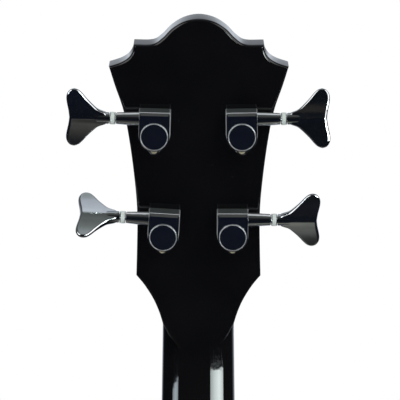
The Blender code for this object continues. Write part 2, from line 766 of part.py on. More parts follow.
def make_housing(side):
    """Die-cast housing: hollow for the wheel and the worm, with the sleeve, the round cap and the screw ear"""
    foot = HEAD_THICKNESS + GAP
    face = HEAD_THICKNESS + HOUSING_HEIGHT
    gear_y = HEAD_THICKNESS + GEAR_HEIGHT
    worm_z = gear_distance()
    worm_room = WORM_PITCH_RADIUS + TOOTH_REACH + WORM_ROOM
    top = worm_z + worm_room + HOUSING_WALL
    outline = housing_outline(HOUSING_RADIUS, top)
    shell = loft([flat_ring(outline, foot), flat_ring(outline, face - HOUSING_EDGE),
                  flat_ring(inset(outline, HOUSING_EDGE), face)])
    cap = cylinder(CAP_RADIUS, (0, face - OVERLAP, 0), (0, face + CAP_RISE, 0), 20)
    sleeve = cylinder(SLEEVE_RADIUS_IN, (side * (HOUSING_RADIUS - OVERLAP), gear_y, worm_z),
                      (side * sleeve_end(), gear_y, worm_z), 14, SLEEVE_RADIUS_OUT)
    ear_z = -HOUSING_RADIUS - EAR_OFFSET
    ear = cylinder(EAR_RADIUS, (0, foot, ear_z), (0, foot + EAR_THICKNESS, ear_z), 12)
    wheel_room = WHEEL_PITCH_RADIUS + TOOTH_REACH + WHEEL_ROOM
    inner = HOUSING_RADIUS - HOUSING_WALL / 2
    ceiling = gear_y + WHEEL_THICKNESS / 2 + WHEEL_HEADROOM
    hollow = cylinder(wheel_room, (0, HEAD_THICKNESS - OVERLAP, 0), (0, ceiling, 0), 14)
    worm_hollow = cylinder(worm_room, (-inner, gear_y, worm_z), (inner, gear_y, worm_z), 12)
    through = side * (sleeve_end() + CUT_PAST)
    bore = cylinder(SHAFT_RADIUS + RUNNING_FIT, (0, gear_y, worm_z), (through, gear_y, worm_z), 12)
    return solid(shell, [cap, sleeve, ear], [hollow, worm_hollow, bore])


def make_worm(side):
    """Single-start worm on its shaft: a thread that follows its helix, cut square at both ends"""
    pitch = 2 * math.pi * WHEEL_PITCH_RADIUS / WHEEL_TEETH
    flank = THREAD_FLANK - GEAR_PLAY / 4
    crest = TOOTH_CREST - GEAR_PLAY / 4
    samples = ((-flank, 0), (-crest, 1), (crest, 1), (flank, 0))
    tip = WORM_PITCH_RADIUS + TOOTH_REACH
    root = WORM_PITCH_RADIUS - TOOTH_REACH - TOOTH_ROOM
    start_turn = -math.ceil(WORM_HALF_LENGTH / pitch) - 2
    end_turn = -start_turn
    bm = bmesh.new()
    columns = []
    for i in range(WORM_POINTS):
        angle = 2 * math.pi * i / WORM_POINTS
        column = []
        for turn in range(start_turn, end_turn + 1):
            for offset, high in samples:
                x = (turn + offset + i / WORM_POINTS) * pitch
                inside = abs(x) < WORM_HALF_LENGTH
                x = max(-WORM_HALF_LENGTH, min(WORM_HALF_LENGTH, x))
                radius = tip if high and inside else root
                column.append(bm.verts.new((x, -radius * math.sin(angle), -radius * math.cos(angle))))
        columns.append(column)
    for i in range(WORM_POINTS):
        first = columns[i]
        second = columns[(i + 1) % WORM_POINTS]
        shift = len(samples) if i == WORM_POINTS - 1 else 0
        for j in range(len(first) - 1 - shift):
            bm.faces.new((first[j], first[j + 1], second[j + 1 + shift], second[j + shift]))
    bmesh.ops.remove_doubles(bm, verts=bm.verts, dist=0.000001)
    bmesh.ops.holes_fill(bm, edges=[edge for edge in bm.edges if edge.is_boundary], sides=0)
    thread = finished(bm)
    reach = sleeve_end() + GAP + WASHER_LENGTH + GAP + SHAFT_GRIP
    shaft = cylinder(SHAFT_RADIUS, (-WORM_HALF_LENGTH - WORM_STUB, 0, 0), (reach, 0, 0), 10)
    worm = solid(thread, [shaft])
    if side < 0:
        moved(worm, Matrix.Diagonal((-1, 1, 1, 1)))
    return worm


def wheel_ring(height, twist):
    """One section of the worm wheel: four points for each tooth"""
    ring = []
    tip = WHEEL_PITCH_RADIUS + TOOTH_REACH
    root = WHEEL_PITCH_RADIUS - TOOTH_REACH - TOOTH_ROOM
    flank = WHEEL_FLANK - GEAR_PLAY / 4
    crest = TOOTH_CREST - GEAR_PLAY / 4
    for tooth in range(WHEEL_TEETH):
        for offset, radius in ((-flank, root), (-crest, tip), (crest, tip), (flank, root)):
            angle = 2 * math.pi * (tooth + 0.5 + offset) / WHEEL_TEETH + twist
            ring.append((radius * math.sin(angle), radius * math.cos(angle), height))
    return ring


def make_post(side):
    """String post with the worm wheel on its foot, revolved, toothed and slotted for the string's end"""
    foot = -HEAD_THICKNESS - GEAR_HEIGHT - WHEEL_THICKNESS / 2 - POST_FOOT
    neck_top = POST_TOP - POST_HEAD
    shoulder = BUSHING_FLANGE + POST_SHOULDER
    profile = [(0.0, POST_TOP), (POST_RADIUS - POST_EDGE, POST_TOP), (POST_RADIUS, POST_TOP - POST_EDGE),
               (POST_RADIUS, neck_top), (POST_WAIST, neck_top - POST_TAPER), (POST_WAIST, shoulder + POST_STEP),
               (POST_RADIUS, shoulder), (POST_RADIUS, foot), (0.0, foot)]
    post = turned(profile, 12)
    lead = 1 / (WHEEL_TEETH * WORM_PITCH_RADIUS / WHEEL_PITCH_RADIUS)
    half_twist = side * lead * WHEEL_THICKNESS / 2 / WHEEL_PITCH_RADIUS
    middle = -HEAD_THICKNESS - GEAR_HEIGHT
    wheel = loft([wheel_ring(middle - WHEEL_THICKNESS / 2, -half_twist),
                  wheel_ring(middle + WHEEL_THICKNESS / 2, half_twist)])
    slot = block((-POST_SLOT / 2, -CUT_FAR, neck_top + POST_EDGE), (POST_SLOT / 2, CUT_FAR, POST_TOP + CUT_PAST))
    return solid(post, [wheel], [slot])


def key_foot():
    """Where a key starts on the worm's axis, out from the post's axis"""
    return sleeve_end() + GAP + WASHER_LENGTH + GAP


def key_ring(across, start, end):
    """One section of a key: thickest along its ridge and at its foot, with its edges broken"""
    left = (1 - abs(across) / KEY_SPAN[-1][0]) ** KEY_HOLLOW
    crowned = (KEY_MIDDLE_THICKNESS - KEY_RIM_THICKNESS) / 2 * left
    foot = KEY_RIM_THICKNESS / 2 + crowned
    tip = KEY_RIM_THICKNESS / 2 + crowned * KEY_END_SHARE
    half = [(start, foot - KEY_EDGE), (start + KEY_EDGE, foot), (end - KEY_EDGE, tip), (end, tip - KEY_EDGE)]
    return [(x, -y, across) for x, y in half] + [(x, y, across) for x, y in reversed(half)]


def make_key(side):
    """Fishtail key: a paddle with a ridge along its middle, which grows out of a round neck"""
    spans = [(-across, start, end) for across, start, end in reversed(KEY_SPAN)] + KEY_SPAN
    paddle = loft([key_ring(*span) for span in spans])
    neck = cylinder(KEY_NECK_RADIUS, (0, 0, 0), (KEY_NECK_LENGTH, 0, 0), 12, KEY_NECK_END_RADIUS)
    bore = cylinder(SHAFT_RADIUS + RUNNING_FIT / 2, (-CUT_PAST, 0, 0), (SHAFT_GRIP + GAP, 0, 0), 10)
    key = solid(paddle, [neck], [bore])
    if side < 0:
        moved(key, Matrix.Diagonal((-1, 1, 1, 1)))
    return key


def ring_profile(inner, outer, low, high):
    """Closed profile of a plain ring"""
    return [(inner, high), (outer, high), (outer, low), (inner, low)]


def make_tuning_machine(name):
    """Housing, worm, post, key, washer and bushing of one string's machine"""
    x, z = post_places()[name]
    side = 1 if x > 0 else -1
    lean = Matrix.Rotation(math.radians(-side * MACHINE_LEANS[name]), 4, "Y")
    stand = add_frame("post_axis_" + name, Matrix.Translation((x, 0, z)) @ lean, HEAD_FRAME)
    add_piece("tuner_housing_" + name, make_housing(side), CHROME, stand)
    forward = Matrix.Rotation(math.radians(90), 4, "X")
    post = make_post(side)
    add_piece("tuner_post_" + name, post, CHROME, stand, forward)
    hole = POST_RADIUS + RUNNING_FIT
    rim = BUSHING_FLANGE_RADIUS
    flange = [(hole, BUSHING_FLANGE), (rim - BUSHING_EDGE, BUSHING_FLANGE), (rim, BUSHING_FLANGE - BUSHING_EDGE),
              (rim, GAP), (BUSHING_RADIUS, GAP), (BUSHING_RADIUS, -BUSHING_LENGTH), (hole, -BUSHING_LENGTH)]
    add_piece("tuner_bushing_" + name, turned(flange, 12, True), CHROME, stand, forward)
    axis = add_frame("key_axis_" + name, Matrix.Translation((0, HEAD_THICKNESS + GEAR_HEIGHT, gear_distance())), stand)
    add_piece("tuner_worm_" + name, make_worm(side), STEEL, axis)
    outward = Matrix.Rotation(math.radians(90), 4, "Y")
    washer = turned(ring_profile(SHAFT_RADIUS + RUNNING_FIT, WASHER_RADIUS, 0.0, WASHER_LENGTH), 10, True)
    start = side * (sleeve_end() + GAP + WASHER_LENGTH / 2) - WASHER_LENGTH / 2
    add_piece("tuner_washer_" + name, washer, NYLON, axis, Matrix.Translation((start, 0, 0)) @ outward)
    turn = Matrix.Rotation(math.radians(KEY_TURNS[name]), 4, "X")
    add_piece("tuner_key_" + name, make_key(side), CHROME, axis, Matrix.Translation((side * key_foot(), 0, 0)) @ turn)


def on_body(x, z):
    """A drawn place on the body, spread to the body's width and hung from its joint with the neck"""
    drawn_width = 2 * max(across for across, _ in BODY_SIDE)
    return x * BODY_WIDTH / drawn_width, BODY_TOP + z


def body_path():
    """The body's outline from the treble side of the neck, round the tail, to the bass side"""
    start = (board_half_width(BODY_TOP) + GAP, BODY_TOP)
    side = [on_body(x, z) for x, z in HORN_INSIDE + BODY_SIDE]
    half = smooth_run([start, *side], 2)
    return half + [Vector((-point.x, point.y)) for point in reversed(half[:-1])]


def plate_path():
    """Outline of the plates, inside the bindings"""
    return inset(body_path(), BINDING_WIDTH + GAP)


def edge_distance(x, z):
    """How far a place lies from the body's middle, as a share of the way to the plates' outline"""
    centre = arch_centre()
    target = Vector((x, z)) - centre
    nearly_nothing = 1e-9
    path = plate_path()
    for first, second in zip(path, path[1:] + path[:1]):
        a = first - centre
        b = second - centre
        det = a.x * b.y - b.x * a.y
        if abs(det) < nearly_nothing:
            continue
        u = (target.x * b.y - b.x * target.y) / det
        v = (a.x * target.y - target.x * a.y) / det
        if u >= -nearly_nothing and v >= -nearly_nothing:
            return u + v
    return 1.0


PLATE_RINGS = (1.0, 0.86, 0.68, FLAT_SHARE)


def arch_centre():
    """Middle of the arch, across and along the body"""
    return Vector((0.0, BODY_TOP + ARCH_CENTRE))


def ring_height(share):
    """Height of the arch at a ring, from 1 over the flat middle to 0 at the edge"""
    step = (share - FLAT_SHARE) / (1 - FLAT_SHARE)
    return 1 - step * step * (3 - 2 * step)


def arch_share(share):
    """Height of the arch anywhere, straight between the plates' rings"""
    if share <= FLAT_SHARE:
        return 1.0
    for outer, inner in zip(PLATE_RINGS, PLATE_RINGS[1:]):
        if share >= inner:
            part = min(1.0, (share - inner) / (outer - inner))
            return ring_height(inner) + (ring_height(outer) - ring_height(inner)) * part
    return 1.0


def top_surface(x, z):
    """Depth of the top plate's outer face at a place"""
    return TOP_EDGE - TOP_ARCH * arch_share(edge_distance(x, z))


def back_surface(x, z):
    """Depth of the back plate's outer face at a place"""
    return TOP_EDGE + BODY_DEPTH + BACK_ARCH * arch_share(edge_distance(x, z))


def surface_frame(name, x, z, surface, outward):
    """An empty on a plate, with its Z axis square to the surface and pointing out"""
    slope_x = (surface(x + SLOPE_REACH, z) - surface(x - SLOPE_REACH, z)) / (2 * SLOPE_REACH)
    slope_z = (surface(x, z + SLOPE_REACH) - surface(x, z - SLOPE_REACH)) / (2 * SLOPE_REACH)
    normal = Vector((-slope_x, 1.0, -slope_z)).normalized() * outward
    turn = normal.to_track_quat("Z", "X").to_matrix().to_4x4()
    frame = add_frame(name, Matrix.Translation((x, surface(x, z), z)) @ turn)
    print("axis", name, [round(v, 5) for v in frame.location], [round(v, 5) for v in normal])
    return frame


def arch_ring(path, share, edge, arch, sign):
    """One ring of an arched surface: the outline shrunk to a share, at the height of the arch there"""
    centre = arch_centre()
    y = edge + sign * arch * arch_share(share)
    return [(centre.x + (p.x - centre.x) * share, y, centre.y + (p.y - centre.y) * share) for p in path]


def plate_mesh(edge, arch, inward, sign):
    """An arched plate: rings that shrink to the flat middle, outside and inside"""
    path = plate_path()
    rings = [arch_ring(path, share, edge, arch, sign) for share in reversed(PLATE_RINGS)]
    rings += [arch_ring(path, share, edge + inward, arch, sign) for share in PLATE_RINGS]
    return loft(rings)


def hollow_mesh():
    """The space between the plates, less the gap at each, from which the block's arched faces are taken"""
    path = plate_path()
    top = TOP_EDGE + PLATE_THICKNESS + GAP
    back = TOP_EDGE + BODY_DEPTH - PLATE_THICKNESS - GAP
    rings = [arch_ring(path, share, top, TOP_ARCH, -1) for share in reversed(PLATE_RINGS)]
    rings += [arch_ring(path, share, back, BACK_ARCH, 1) for share in PLATE_RINGS]
    return loft(rings)


def sound_hole(side):
    """Cutters for one sound hole: a slanted, swelling slot between two round eyes"""
    eyes = [(*on_body(x, z), radius) for x, z, radius in EYES]
    low = TOP_EDGE - TOP_ARCH - CUT_FAR
    high = TOP_EDGE + CUT_FAR
    left = []
    right = []
    start = Vector(eyes[0][:2])
    end = Vector(eyes[1][:2])
    for i in range(SLOT_STEPS + 1):
        t = i / SLOT_STEPS
        sway = SLOT_SWAY * math.sin(2 * math.pi * t)
        width = SLOT_HALF_WIDTH + SLOT_SWELL * math.sin(math.pi * t)
        middle = start.lerp(end, t) + Vector((-sway, 0))
        left.append(Vector((side * (middle.x - width), middle.y)))
        right.append(Vector((side * (middle.x + width), middle.y)))
    outline = left + right[::-1]
    slot = loft([flat_ring(outline, low), flat_ring(outline, high)])
    rounds = [cylinder(radius, (side * x, low, z), (side * x, high, z), 12) for x, z, radius in eyes]
    return [slot, *rounds]


def pickup_room(z, spare):
    """Cutter for a pickup's opening"""
    half_x = PICKUP_WIDTH / 2 + spare
    half_z = PICKUP_LENGTH / 2 + spare
    return block((-half_x, -CUT_FAR, z - half_z), (half_x, PICKUP_DEPTH + PICKUP_ROOM_BELOW, z + half_z))


def tenon_room():
    """Cutter for the pocket that takes the neck's tenon"""
    half = TENON_HALF_WIDTH + GAP
    return block((-half, -CUT_FAR, -BOARD_LENGTH - GAP), (half, TENON_DEPTH + GAP, BODY_TOP + CUT_FAR))


def stud_places():
    """Where the bridge's studs stand: two in front at its ends, one at the back in the middle"""
    aside = BRIDGE_WIDTH / 2 - STUD_INSET
    front = BRIDGE_FRONT - STUD_SETBACK
    return [(-aside, front), (aside, front), (0.0, BRIDGE_BACK + TAIL_WALL)]


def neck_pickup_z():
    """Height of the neck pickup's middle, below the end of the fingerboard"""
    return -BOARD_LENGTH - BOARD_TO_RING - RING_MARGIN - PICKUP_LENGTH / 2


def bridge_pickup_z():
    """Height of the bridge pickup's middle, above the bridge"""
    return BRIDGE_FRONT + RING_TO_BRIDGE + RING_MARGIN + PICKUP_LENGTH / 2


def stud_rooms():
    """Cutters for the bridge's studs"""
    foot = crown() + STUD_DEPTH + GAP
    return [cylinder(STUD_RADIUS + GAP, (x, -CUT_FAR, z), (x, foot, z), 12) for x, z in stud_places()]


def crown():
    """Depth of the top plate's flat middle"""
    return TOP_EDGE - TOP_ARCH


def make_body():
    """Arched plates, rims, bindings and the block that runs down the middle"""
    top = plate_mesh(TOP_EDGE, TOP_ARCH, PLATE_THICKNESS, -1)
    cuts = sound_hole(1) + sound_hole(-1) + [tenon_room()] + stud_rooms()
    cuts += [pickup_room(neck_pickup_z(), PICKUP_ROOM), pickup_room(bridge_pickup_z(), PICKUP_ROOM)]
    for name in KNOB_PLACES:
        frame = CONTROL_FRAMES[name].matrix_world
        cuts.append(moved(cylinder(POT_NECK_RADIUS + GAP, (0, 0, -CUT_FAR), (0, 0, CUT_FAR), 12), frame))
    frame = CONTROL_FRAMES["switch"].matrix_world
    cuts.append(moved(cylinder(SWITCH_RADIUS + GAP, (0, 0, -CUT_FAR), (0, 0, CUT_FAR), 14), frame))
    add_piece("top_plate", solid(top, (), cuts), BLACK_LACQUER)
    back = plate_mesh(TOP_EDGE + BODY_DEPTH, BACK_ARCH, -PLATE_THICKNESS, 1)
    add_piece("back_plate", back, BLACK_LACQUER)
    path = body_path()
    inner = inset(path, RIM_THICKNESS)
    tail = len(path) // 2
    low = TOP_EDGE + PLATE_THICKNESS + GAP
    high = TOP_EDGE + BODY_DEPTH - PLATE_THICKNESS - GAP
    for name, piece in (("rim_treble_side", range(0, tail + 1)), ("rim_bass_side", range(tail, len(path)))):
        sections = []
        for i in piece:
            shift = 0.0
            if i == tail:
                shift = GAP / 2 if name == "rim_treble_side" else -GAP / 2
            a = path[i]
            b = inner[i]
            sections.append([(a.x + shift, low, a.y), (a.x + shift, high, a.y), (b.x + shift, high, b.y),
                             (b.x + shift, low, b.y)])
        rim = loft(sections)
        if name == "rim_treble_side":
            edge = widest_place()
            hole = cylinder(JACK_RADIUS + GAP, (edge - CUT_FAR, rim_middle(), jack_height()),
                            (edge + CUT_PAST, rim_middle(), jack_height()), 14)
            rim = solid(rim, (), [hole])
        add_piece(name, rim, BLACK_LACQUER)
    lip = inset(path, BINDING_WIDTH)
    back_edge = TOP_EDGE + BODY_DEPTH
    for name, first, last in (("top_binding", TOP_EDGE, low - GAP), ("back_binding", high + GAP, back_edge)):
        sections = [[(a.x, first, a.y), (a.x, last, a.y), (b.x, last, b.y), (b.x, first, b.y)]
                    for a, b in zip(path, lip)]
        add_piece(name, loft(sections), CREAM)


def rim_middle():
    """Depth of the middle of the rims"""
    return TOP_EDGE + BODY_DEPTH / 2


def widest_place():
    """How far the rims reach out at their widest"""
    return max(point.x for point in body_path())


def jack_height():
    """Height of the output socket"""
    return BODY_TOP + JACK_PLACE


def body_tail():
    """Height of the body's lower end"""
    return BODY_TOP + BODY_SIDE[-1][1]


def make_centre_block():
    """The block between the plates: a plank cut to their arches, with its mortise and openings"""
    low_z = body_tail() + RIM_THICKNESS + BLOCK_TAIL_ROOM
    top_z = BODY_TOP - RIM_THICKNESS - BLOCK_TOP_ROOM
    front = TOP_EDGE - TOP_ARCH - CUT_FAR
    back = TOP_EDGE + BODY_DEPTH + BACK_ARCH + CUT_FAR
    plank = block((-BLOCK_HALF_WIDTH, front, low_z), (BLOCK_HALF_WIDTH, back, top_z))
    cuts = [tenon_room(), pickup_room(neck_pickup_z(), PICKUP_ROOM), pickup_room(bridge_pickup_z(), PICKUP_ROOM)]
    add_piece("centre_block", solid(plank, (), cuts + stud_rooms(), [hollow_mesh()]), PALE_WOOD)


def make_pickups():
    """Two pickups, each with a domed cover edge, and their surrounds"""
    half_x = PICKUP_WIDTH / 2
    half_z = PICKUP_LENGTH / 2
    for name, z in (("neck_pickup", neck_pickup_z()), ("bridge_pickup", bridge_pickup_z())):
        cover = block((-half_x, -PICKUP_TOP, z - half_z), (half_x, PICKUP_DEPTH, z + half_z))
        add_piece(name, chamfered(cover, PICKUP_ROUNDING, 50, 2), CHROME)
        base = crown() - GAP
        outer = block((-half_x - RING_MARGIN, base - RING_HEIGHT, z - half_z - RING_MARGIN),
                      (half_x + RING_MARGIN, base, z + half_z + RING_MARGIN))
        ring = solid(chamfered(outer, RING_CHAMFER), (), [pickup_room(z, GAP)])
        add_piece(name + "_ring", ring, BLACK_PLASTIC)


def saddle_base():
    """Depth of the bridge's floor, where the saddles slide"""
    return crown() - BRIDGE_LIFT - BRIDGE_FLOOR


def make_bridge():
    """Three-point bridge: a floor with a tail wall that anchors the strings, standing on studs"""
    half = BRIDGE_WIDTH / 2
    low = crown() - BRIDGE_LIFT
    floor = block((-half, saddle_base(), BRIDGE_BACK), (half, low, BRIDGE_FRONT))
    under = low - BRIDGE_STEP
    wall = block((-half, saddle_base() - TAIL_HEIGHT, BRIDGE_BACK), (half, under, BRIDGE_BACK + TAIL_WALL))
    lip = block((-half, saddle_base() - BRIDGE_LIP_HEIGHT, BRIDGE_FRONT - BRIDGE_LIP), (half, under, BRIDGE_FRONT))
    foot = crown() + STUD_DEPTH
    studs = [cylinder(STUD_RADIUS, (x, low - OVERLAP, z), (x, foot, z), 12) for x, z in stud_places()]
    cuts = []
    for name, (_, at_saddle) in string_points().items():
        room = STRINGS[name]["radius"] + STRING_SLOT_ROOM
        floor_of_slot = -STRING_TAIL_HEIGHT + GAP
        cuts.append(block((at_saddle.x - room, floor_of_slot - CUT_FAR, BRIDGE_BACK - CUT_PAST),
                          (at_saddle.x + room, floor_of_slot, BRIDGE_BACK + TAIL_WALL + CUT_PAST)))
    add_piece("bridge_body", solid(floor, [wall, lip, *studs], cuts), CHROME)
    for name, (_, at_saddle) in string_points().items():
        floor_y = saddle_base() - GAP
        ridge = -STRING_HEIGHT_BRIDGE + GAP
        profile = [(floor_y, SADDLE_FRONT), (ridge, SADDLE_RIDGE), (ridge, -SADDLE_RIDGE),
                   ((floor_y + ridge) / 2, -SADDLE_BACK), (floor_y, -SADDLE_BACK)]
        sections = [[(x, y, z) for y, z in profile] for x in (-SADDLE_WIDTH / 2, SADDLE_WIDTH / 2)]
        saddle = loft(sections)
        add_piece("saddle_" + name, saddle, CHROME, None, Matrix.Translation((at_saddle.x, 0, at_saddle.z)))


CONTROL_FRAMES = {}


def place_controls():
    """Frames for the knobs and the switch, square to the arched top"""
    for name, place in KNOB_PLACES.items():
        CONTROL_FRAMES[name] = surface_frame("knob_axis_" + name, *on_body(*place), top_surface, -1)
    CONTROL_FRAMES["switch"] = surface_frame("switch_axis", *on_body(*SWITCH_PLACE), top_surface, -1)


def make_controls():
    """Knobs on their potentiometers, and the pickup switch with its lever"""
    for name in KNOB_PLACES:
        foot = KNOB_CLEARANCE
        under = -PLATE_THICKNESS - POT_DROP
        shaft_end = under - POT_HEIGHT + SHAFT_SHORT
        top = foot + KNOB_HEIGHT
        profile = [(0.0, top), (KNOB_TOP_RADIUS - KNOB_EDGE, top), (KNOB_TOP_RADIUS, top - KNOB_EDGE),
                   (KNOB_RADIUS - KNOB_EDGE, foot + 2 * KNOB_SKIRT), (KNOB_RADIUS, foot + KNOB_SKIRT),
                   (KNOB_RADIUS, foot), (KNOB_SHAFT, foot), (KNOB_SHAFT, shaft_end), (0.0, shaft_end)]
        add_piece("knob_" + name, turned(profile, 16), BLACK_PLASTIC, CONTROL_FRAMES[name])
        hollow = KNOB_SHAFT + RUNNING_FIT
        case = [(hollow, POT_NECK_RISE), (POT_NECK_RADIUS, POT_NECK_RISE), (POT_NECK_RADIUS, under),
                (POT_RADIUS, under), (POT_RADIUS, under - POT_HEIGHT), (hollow, under - POT_HEIGHT)]
        add_piece("pot_" + name, turned(case, 12, True), STEEL, CONTROL_FRAMES[name])
    frame = CONTROL_FRAMES["switch"]
    deep = -SWITCH_DEPTH
    under = deep - SWITCH_FLOOR
    body = [(0.0, deep), (SWITCH_BORE, deep), (SWITCH_BORE, SWITCH_RISE), (SWITCH_RADIUS - SWITCH_EDGE, SWITCH_RISE),
            (SWITCH_RADIUS, SWITCH_RISE - SWITCH_EDGE), (SWITCH_RADIUS, under), (0.0, under)]
    add_piece("toggle_switch", turned(body, 14), CHROME, frame)
    pivot = add_frame("toggle_pivot", Matrix.Translation((0, 0, -LEVER_PIVOT_DEPTH)), frame)
    lever = [(TIP_RADIUS * share, LEVER_LENGTH - drop) for share, drop in TIP_SHAPE]
    lever.append((LEVER_RADIUS, LEVER_LENGTH - TIP_LENGTH))
    ball = SWITCH_BORE - 2 * GAP
    start = math.asin(LEVER_RADIUS / ball)
    for i in range(BALL_STEPS + 1):
        angle = start + (math.pi - start) * i / BALL_STEPS
        lever.append((ball * math.sin(angle) if i < BALL_STEPS else 0.0, ball * math.cos(angle)))
    add_piece("toggle_lever", turned(lever, 10), CREAM, pivot)


def make_jack():
    """Output socket on its oval plate, on the treble rim where the body is widest"""
    face = widest_place() + GAP
    outline = []
    for i in range(JACK_PLATE_POINTS):
        angle = 2 * math.pi * i / JACK_PLATE_POINTS
        outline.append((JACK_PLATE[1] / 2 * math.cos(angle), JACK_PLATE[0] / 2 * math.sin(angle)))
    rings = [[(x, y, z) for y, z in outline] for x in (0.0, JACK_PLATE_THICKNESS)]
    plate = loft(rings)
    barrel = cylinder(JACK_RADIUS, (-JACK_LENGTH, 0, 0), (JACK_PLATE_THICKNESS / 2, 0, 0), 14)
    collar = cylinder(JACK_RADIUS + JACK_COLLAR, (JACK_PLATE_THICKNESS / 2, 0, 0),
                      (JACK_PLATE_THICKNESS + JACK_COLLAR, 0, 0), 14)
    bore = cylinder(JACK_BORE, (-JACK_LENGTH - CUT_FAR, 0, 0), (CUT_FAR, 0, 0), 14)
    jack = solid(plate, [barrel, collar], [bore])
    add_piece("output_jack", jack, CHROME, None, Matrix.Translation((face, rim_middle(), jack_height())))


def make_strap_buttons():
    """Two strap buttons: one at the tail, one on the back below the heel"""
    profile = [(STRAP_RADIUS * share, height) for share, height in STRAP_SHAPE]
    tail = Matrix.Translation((0, rim_middle(), body_tail() - GAP)) @ Matrix.Rotation(math.pi, 4, "X")
    add_piece("strap_button_tail", turned(profile, 14), CHROME, None, tail)
    frame = surface_frame("heel_button_axis", 0.0, BODY_TOP + HEEL_BUTTON_PLACE, back_surface, 1)
    lift = Matrix.Translation((0, 0, HEEL_BUTTON_LIFT))
    add_piece("strap_button_heel", turned(profile, 14), CHROME, frame, lift)


def main():
    """Make every piece of the instrument"""
    make_neck()
    make_truss_rod()
    make_fingerboard()
    make_nut()
    make_strings()
    for name in STRINGS:
        make_tuning_machine(name)
    place_controls()
    make_body()
    make_centre_block()
    make_pickups()
    make_bridge()
    make_controls()
    make_jack()
    make_strap_buttons()


main()
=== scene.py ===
# %% [markdown]
# # A semi-hollow bass guitar in black lacquer
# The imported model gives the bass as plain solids, each with its place and its joints. This lesson dresses it:
# finer shapes stand in for the plain ones, and each surface gets a finish made from nodes. All sizes are metres.
# The strings face -Y, +Z runs up the neck, and the camera looks at the back of the headstock.

# %% Load the frame
import json
import math
import bmesh
import bpy
from mathutils import Matrix, Vector


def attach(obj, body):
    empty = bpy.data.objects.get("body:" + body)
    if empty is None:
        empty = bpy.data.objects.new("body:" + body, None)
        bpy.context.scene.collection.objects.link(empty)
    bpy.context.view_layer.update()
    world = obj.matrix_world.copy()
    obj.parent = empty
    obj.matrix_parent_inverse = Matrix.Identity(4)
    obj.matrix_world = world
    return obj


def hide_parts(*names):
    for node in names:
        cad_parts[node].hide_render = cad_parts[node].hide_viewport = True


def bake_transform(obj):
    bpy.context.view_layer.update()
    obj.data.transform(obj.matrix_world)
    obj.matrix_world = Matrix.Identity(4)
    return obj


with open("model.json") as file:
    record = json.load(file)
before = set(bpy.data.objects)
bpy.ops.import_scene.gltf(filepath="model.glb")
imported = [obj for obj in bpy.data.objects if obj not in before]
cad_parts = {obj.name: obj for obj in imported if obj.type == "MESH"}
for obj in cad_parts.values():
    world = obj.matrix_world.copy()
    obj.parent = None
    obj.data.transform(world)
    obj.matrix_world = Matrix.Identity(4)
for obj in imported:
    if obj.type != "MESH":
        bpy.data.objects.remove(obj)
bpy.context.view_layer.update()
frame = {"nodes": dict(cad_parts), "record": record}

nodes = frame["nodes"]

# %% [markdown]
# ## Camera
# The photograph looks straight at the headstock's back, from a distance at which the two sides of the neck look
# parallel. A long lens does that. The nut lies 135 pixels below the picture's middle, and 42 mm of nut fill 70
# pixels, which gives the camera's height and the focal length.

# %% Place the camera
CAMERA_DISTANCE = 1.30
CAMERA_HEIGHT = 0.080
FOCAL_PIXELS = 2182
PICTURE_WIDTH = 400
camera = bpy.data.objects.new("camera", bpy.data.cameras.new("camera"))
bpy.context.scene.collection.objects.link(camera)
camera.data.sensor_width = 36
camera.data.lens = camera.data.sensor_width * FOCAL_PIXELS / PICTURE_WIDTH
camera.location = (-0.00083, CAMERA_DISTANCE, CAMERA_HEIGHT)
camera.rotation_euler = (math.radians(90), math.radians(-0.12), math.radians(180))
bpy.context.scene.camera = camera
bpy.context.scene.view_settings.view_transform = "Standard"
print("lens", round(camera.data.lens, 1), "mm")

# %% [markdown]
# ## Small helpers for node trees
# A finish is a short chain of nodes. These helpers add a node, set its values and link its inputs in one line, so
# that each finish below reads as a list of what happens on the surface.

# %% Node helpers
def add_node(tree, kind, values=None, links=None, **settings):
    """Add a node, set its plain values and link other nodes' outputs to its inputs"""
    node = tree.nodes.new("ShaderNode" + kind)
    for key, value in settings.items():
        setattr(node, key, value)
    for key, value in (values or {}).items():
        node.inputs[key].default_value = value
    for key, output in (links or {}).items():
        tree.links.new(output, node.inputs[key])
    return node


def maths(tree, operation, first, second=None, clamp=False):
    """One step of arithmetic on numbers or outputs"""
    node = tree.nodes.new("ShaderNodeMath")
    node.operation = operation
    node.use_clamp = clamp
    for socket, value in zip(node.inputs, (first, second)):
        if value is None:
            continue
        if isinstance(value, (int, float)):
            socket.default_value = value
        else:
            tree.links.new(value, socket)
    return node.outputs[0]


def ramp(tree, factor, stops, interpolation="LINEAR"):
    """A colour ramp from a list of (position, colour)"""
    node = tree.nodes.new("ShaderNodeValToRGB")
    node.color_ramp.interpolation = interpolation
    while len(node.color_ramp.elements) < len(stops):
        node.color_ramp.elements.new(1.0)
    for element, (position, colour) in zip(node.color_ramp.elements, stops):
        element.position = position
        element.color = (*colour, 1.0)
    tree.links.new(factor, node.inputs[0])
    return node.outputs[0]


def blend_colours(tree, factor, first, second, blend="MIX"):
    """Mix two colours, each a value or another node's output"""
    node = tree.nodes.new("ShaderNodeMix")
    node.data_type = "RGBA"
    node.blend_type = blend
    for socket, value in ((node.inputs[0], factor), (node.inputs[6], first), (node.inputs[7], second)):
        if isinstance(value, (int, float)):
            socket.default_value = value
        elif isinstance(value, tuple):
            socket.default_value = (*value, 1.0)
        else:
            tree.links.new(value, socket)
    return node.outputs[2]


def screen(red, green, blue):
    """A colour as the screen shows it, from 0 to 255, turned into light"""
    return tuple(((v / 255 + 0.055) / 1.055) ** 2.4 if v > 10 else v / 255 / 12.92 for v in (red, green, blue))


